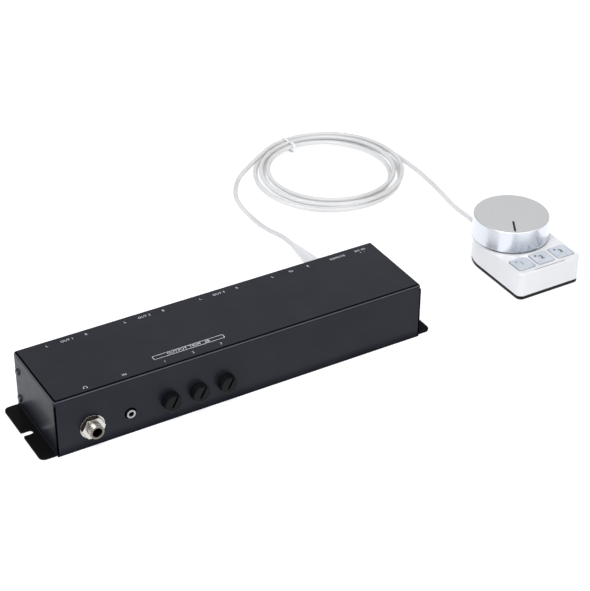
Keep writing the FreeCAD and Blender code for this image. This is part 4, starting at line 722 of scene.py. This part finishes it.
def case_captions():
    """Names of the sockets along the rear edge, and of the jacks and trims along the front one."""
    z = TOP_Z + INK
    rear = bmesh.new()
    for caption, x in REAR_CAPTIONS:
        lettering(rear, caption, (x, REAR_ROW_Y, z), CAPTION)
    lettering(rear, "REMOTE", (REMOTE_CAPTION_X, REAR_ROW_Y - 0.0006, z), CAPTION)
    lettering(rear, "DC IN", (INLET_X, REAR_ROW_Y, z), 0.0020)
    lettering(rear, "+  -", (INLET_X, REAR_ROW_Y - 0.0032, z), 0.0018)
    finish_piece("captions_rear", rear, PRINT, "console")

    front = bmesh.new()
    lettering(front, "IN", (AUX_X - 0.0004, FRONT_ROW_Y, z), CAPTION)
    for digit, x in zip("123", TRIM_XS):
        lettering(front, digit, (x, FRONT_ROW_Y + 0.0002, z), CAPTION)
    lettering(front, "OUTPUT TRIM  dB", (TRIM_CAPTION_X, TRIM_CAPTION_Y, z), 0.0023, 1.2)
    line_strip(front, rounded_loop(*TRIM_FRAME), FRAME_WIDTH, z, closed=True)
    headband = ring_points(BAND_X, FRONT_ROW_Y, BAND_RADIUS, 15, math.radians(-25.0), math.radians(230.0))
    line_strip(front, headband, BAND_WIDTH, z)
    for side in (-1, 1):
        x, y = BAND_X + BAND_RADIUS * side, FRONT_ROW_Y - 0.0006
        flat_face(front, [(x + a, y + b) for a, b in rounded_loop(*CUP, 3)], z)
    finish_piece("captions_front", front, PRINT, "console")


# Signs, painted shadow of the gaps round the keys, and the dark base rim of the remote with painted shadow
# below it

KEY_DIGIT, DIGIT_SWELL, DIGIT_SHIFT = 0.0042, 0.00016, 0.0002
DOT_RADIUS, DOT_X, DOT_Y = 0.0009, -0.0030, 0.0034
GROUP_LINE, GROUP_LINE_WIDTH = ((0.2328, -0.0287), (0.2589, -0.0287)), 0.0007
GAP_HALF_X, GAP_HALF_Y, GAP_CORNER, GAP_WIDTH = 0.00722, 0.00707, 0.0020, 0.00034


def key_captions():
    """A digit and a dot on each key, and the line below the keys."""
    z = KEY_TOP + INK
    for i, x in enumerate(KEY_XS):
        work = bmesh.new()
        lettering(work, str(i + 1), (x + DIGIT_SHIFT, KEY_Y + DIGIT_SHIFT, z), KEY_DIGIT, swell=DIGIT_SWELL)
        flat_face(work, ring_points(x + DOT_X, KEY_Y + DOT_Y, DOT_RADIUS, 14), z)
        ink = FAINT_PRINT_AND_SHADOW if i == 0 else GREY_PRINT
        finish_piece("key_print_%d" % (i + 1), work, ink, "key_%d" % (i + 1))
    work = bmesh.new()
    line_strip(work, GROUP_LINE, GROUP_LINE_WIDTH, REMOTE_TOP + INK)
    finish_piece("key_group_line", work, FAINT_PRINT_AND_SHADOW, "console")


def key_gaps():
    """Thin grey line of painted shadow that draws the gap round each key."""
    work = bmesh.new()
    for x in KEY_XS:
        loop = rounded_loop(x - GAP_HALF_X, x + GAP_HALF_X, KEY_Y - GAP_HALF_Y, KEY_Y + GAP_HALF_Y,
                            GAP_CORNER)
        line_strip(work, loop, GAP_WIDTH, REMOTE_TOP + INK, closed=True)
    finish_piece("key_gaps", work, FAINT_PRINT_AND_SHADOW, "console")


REMOTE_HALF, REMOTE_FRONT, REMOTE_CORNER = 0.0266, 0.0500, 0.0045
# How far the rim lies inside the remote's outline, at each height
RIM_ROWS = ((0.0012, 0.0001), (0.00035, 0.0001), (0.00015, 0.0003), (0.00015, 0.0029), (0.00025, 0.0030),
            (0.0012, 0.0030))


def remote_outline(inset, corner, steps=10):
    """Plan of the remote: a half-round back about the knob's axis and rounded front corners."""
    half, front = REMOTE_HALF - inset, REMOTE_FRONT - inset
    points = []
    for i in range(3 * steps + 1):
        turn = math.pi * i / (3 * steps)
        points.append((REMOTE_X + half * math.cos(turn), REMOTE_Y + half * math.sin(turn)))
    for side, start in ((-1, 180.0), (1, 270.0)):
        for i in range(steps + 1):
            turn = math.radians(start + 90.0 * i / steps)
            points.append((REMOTE_X + side * (half - corner) + corner * math.cos(turn),
                           REMOTE_Y - front + corner + corner * math.sin(turn)))
    return points


def base_rim_and_shadow():
    """A moulded lip that closes the step between the housing and its base plate, and runs down to the table
    as painted shadow.
    """
    work = bmesh.new()
    loops = []
    # The rows near the table are painted shadow under the housing's edge
    for inset, z in RIM_ROWS:
        loops.append([work.verts.new((x, y, z)) for x, y in remote_outline(inset, REMOTE_CORNER - inset)])
    count = len(loops[0])
    for low, high in zip(loops, loops[1:] + loops[:1]):
        for i in range(count):
            work.faces.new((low[i], low[(i + 1) % count], high[(i + 1) % count], high[i]))
    bmesh.ops.recalc_face_normals(work, faces=work.faces)
    for face in work.faces:
        face.smooth = True
    finish_piece("base_rim_and_shadow", work, DARK, "console")


# Painted shade in the grooves of the trim knobs and round the small jack

# Left, right, low, high and corner of the line, about the knob's axis
TRIM_LINE = (-0.00070, 0.00070, -0.0026, 0.0056, 0.0002)
TRIM_LINE_LEAN, TRIM_LINE_LIFT = 30.0, 0.00004
# Inner and outer reach of the painted shade round the small jack, and its steps
AUX_SHADE_INNER, AUX_SHADE_OUTER, AUX_SHADE_STEPS = 0.0029, 0.0041, 48


def trim_lines():
    """The dark line on the face of each trim knob, painted shade over its groove."""
    for i, x in enumerate(TRIM_XS):
        work = bmesh.new()
        work.faces.new([work.verts.new((a, 0, b)) for a, b in rounded_loop(*TRIM_LINE, 3)])
        lean = Matrix.Rotation(math.radians(TRIM_LINE_LEAN), 4, "Y")
        work.transform(Matrix.Translation((x, TRIM_FACE_Y - TRIM_LINE_LIFT, FRONT_AXIS_Z)) @ lean)
        finish_piece("trim_line_%d" % (i + 1), work, SEAM_AND_SHADE_BLACK, "trim_%d" % (i + 1))


def aux_gap_shade():
    """Painted shade in the gap round the small jack."""
    work = bmesh.new()
    rings = []
    for radius in (AUX_SHADE_INNER, AUX_SHADE_OUTER):
        circle = ring_points(AUX_X, FRONT_AXIS_Z, radius, AUX_SHADE_STEPS)
        rings.append([work.verts.new((x, FRONT_Y - INK, z)) for x, z in circle])
    inner, outer = rings
    for i in range(AUX_SHADE_STEPS):
        after = (i + 1) % AUX_SHADE_STEPS
        work.faces.new((inner[i], outer[i], outer[after], inner[after]))
    bmesh.ops.recalc_face_normals(work, faces=work.faces)
    finish_piece("aux_gap_shade", work, SEAM_AND_SHADE_BLACK, "console")


# Front corners of the folded cover

SIDES = (("left", -1), ("right", 1))
FILL_LOW, FILL_HIGH = Vector((0.13140, -0.03125, 0.03870)), Vector((0.13400, -0.02905, 0.04200))
FILL_ROUND = 0.0019
SEAM_X, SEAM_WIDTH, SEAM_WRAP, SEAM_LOW, SEAM_HIGH = 0.1340, 0.0010, 0.0005, 0.0014, 0.0385


def corner_fill(name, side):
    """The welded and ground corner where the front fold meets the end wall."""
    work = bmesh.new()
    bmesh.ops.create_cube(work, size=1.0)
    for vert in work.verts:
        share = vert.co + Vector((0.5, 0.5, 0.5))
        vert.co = Vector([FILL_LOW[k] + (FILL_HIGH[k] - FILL_LOW[k]) * share[k] for k in range(3)])
    outer = Vector((FILL_HIGH.x, FILL_LOW.y, FILL_HIGH.z))

    def on_outside(edge):
        middle = (edge.verts[0].co + edge.verts[1].co) / 2
        return sum(abs(middle[k] - outer[k]) < 1e-6 for k in range(3)) == 2

    edges = [edge for edge in work.edges if on_outside(edge)]
    bmesh.ops.bevel(work, geom=edges, offset=FILL_ROUND, offset_type="OFFSET", segments=5, profile=0.5,
                    affect="EDGES", clamp_overlap=True)
    if side < 0:
        for vert in work.verts:
            vert.co.x *= -1
        bmesh.ops.reverse_faces(work, faces=work.faces)
    for face in work.faces:
        face.smooth = True
    finish_piece("corner_fill_" + name, work, CASE, "console")


def corner_seam(name, side):
    """Dark strip that draws the joint between the front fold and the end wall."""
    front, end = FRONT_Y - INK, SEAM_X + INK
    plan = ((SEAM_X - SEAM_WIDTH, front), (end, front), (end, FRONT_Y + SEAM_WRAP))
    work = bmesh.new()
    rails = [[work.verts.new((side * x, y, z)) for z in (SEAM_LOW, SEAM_HIGH)] for x, y in plan]
    for near, far in zip(rails, rails[1:]):
        work.faces.new((near[0], far[0], far[1], near[1]))
    finish_piece("corner_seam_" + name, work, SEAM_AND_SHADE_BLACK, "console")


# Floor and light

FLOOR_HALF, FLOOR_Z, FLOOR_GLOW = 6.0, -0.0002, 0.62
WORLD_STRENGTH = 0.50
LIGHT_TARGET = (0.06, 0.05, 0.0)
# Name, place, width, height, power and colour
LIGHTS = (
    ("overhead", (-0.4, -0.5, 1.7), 1.5, 1.2, 22.0, (1, 1, 1)),
    ("left_front", (-1.6, -0.9, 0.9), 1.0, 1.0, 11.0, (0.86, 0.92, 1.0)),
    ("rear_right", (1.05, 1.75, 1.30), 1.6, 0.8, 3.0, (0.98, 0.98, 1.0)),
    ("right_front", (0.85, -1.05, 1.45), 1.1, 0.45, 7.0, (1.0, 0.99, 0.97)),
)


def add_floor():
    """Plain pale floor with a glow of its own, so that it reads as a studio's white."""
    mesh = bpy.data.meshes.new("floor")
    work = bmesh.new()
    bmesh.ops.create_grid(work, x_segments=1, y_segments=1, size=FLOOR_HALF)
    work.to_mesh(mesh)
    work.free()
    shade = Shade("floor", (0.55, 0.55, 0.555), 0.9)
    tone = shade.ramp(shade.noise(3.0, 1.0), (0.545, 0.545, 0.55), (0.555, 0.555, 0.56))
    shade.feed("Base Color", tone)
    shade.set("Specular IOR Level", 0.0)
    shade.set("Emission Color", (0.985, 0.99, 1.0, 1))
    shade.set("Emission Strength", FLOOR_GLOW)
    mesh.materials.append(shade.done())
    floor = bpy.data.objects.new("floor", mesh)
    bpy.context.scene.collection.objects.link(floor)
    floor.location = (0, 0, FLOOR_Z)


def area_light(name, place, width, height, power, colour):
    light = bpy.data.lights.new(name, "AREA")
    light.shape = "RECTANGLE"
    light.size = width
    light.size_y = height
    light.energy = power
    light.color = colour
    holder = bpy.data.objects.new(name, light)
    bpy.context.scene.collection.objects.link(holder)
    holder.location = place
    holder.rotation_euler = (Vector(LIGHT_TARGET) - Vector(place)).to_track_quat("-Z", "Y").to_euler()


def add_light():
    """Soft boxes round the object and an even, slightly blue sky."""
    world = bpy.data.worlds.new("studio")
    world.use_nodes = True
    background = world.node_tree.nodes["Background"]
    background.inputs["Color"].default_value = (0.93, 0.95, 1.0, 1)
    background.inputs["Strength"].default_value = WORLD_STRENGTH
    bpy.context.scene.world = world
    for light in LIGHTS:
        area_light(*light)


add_camera()
add_cable(coil_strap())
case_captions()
key_captions()
base_rim_and_shadow()
key_gaps()
trim_lines()
aux_gap_shade()
for name, side in SIDES:
    corner_fill(name, side)
for name, side in SIDES:
    corner_seam(name, side)
add_floor()
add_light()
bpy.context.scene.view_settings.view_transform = "Standard"
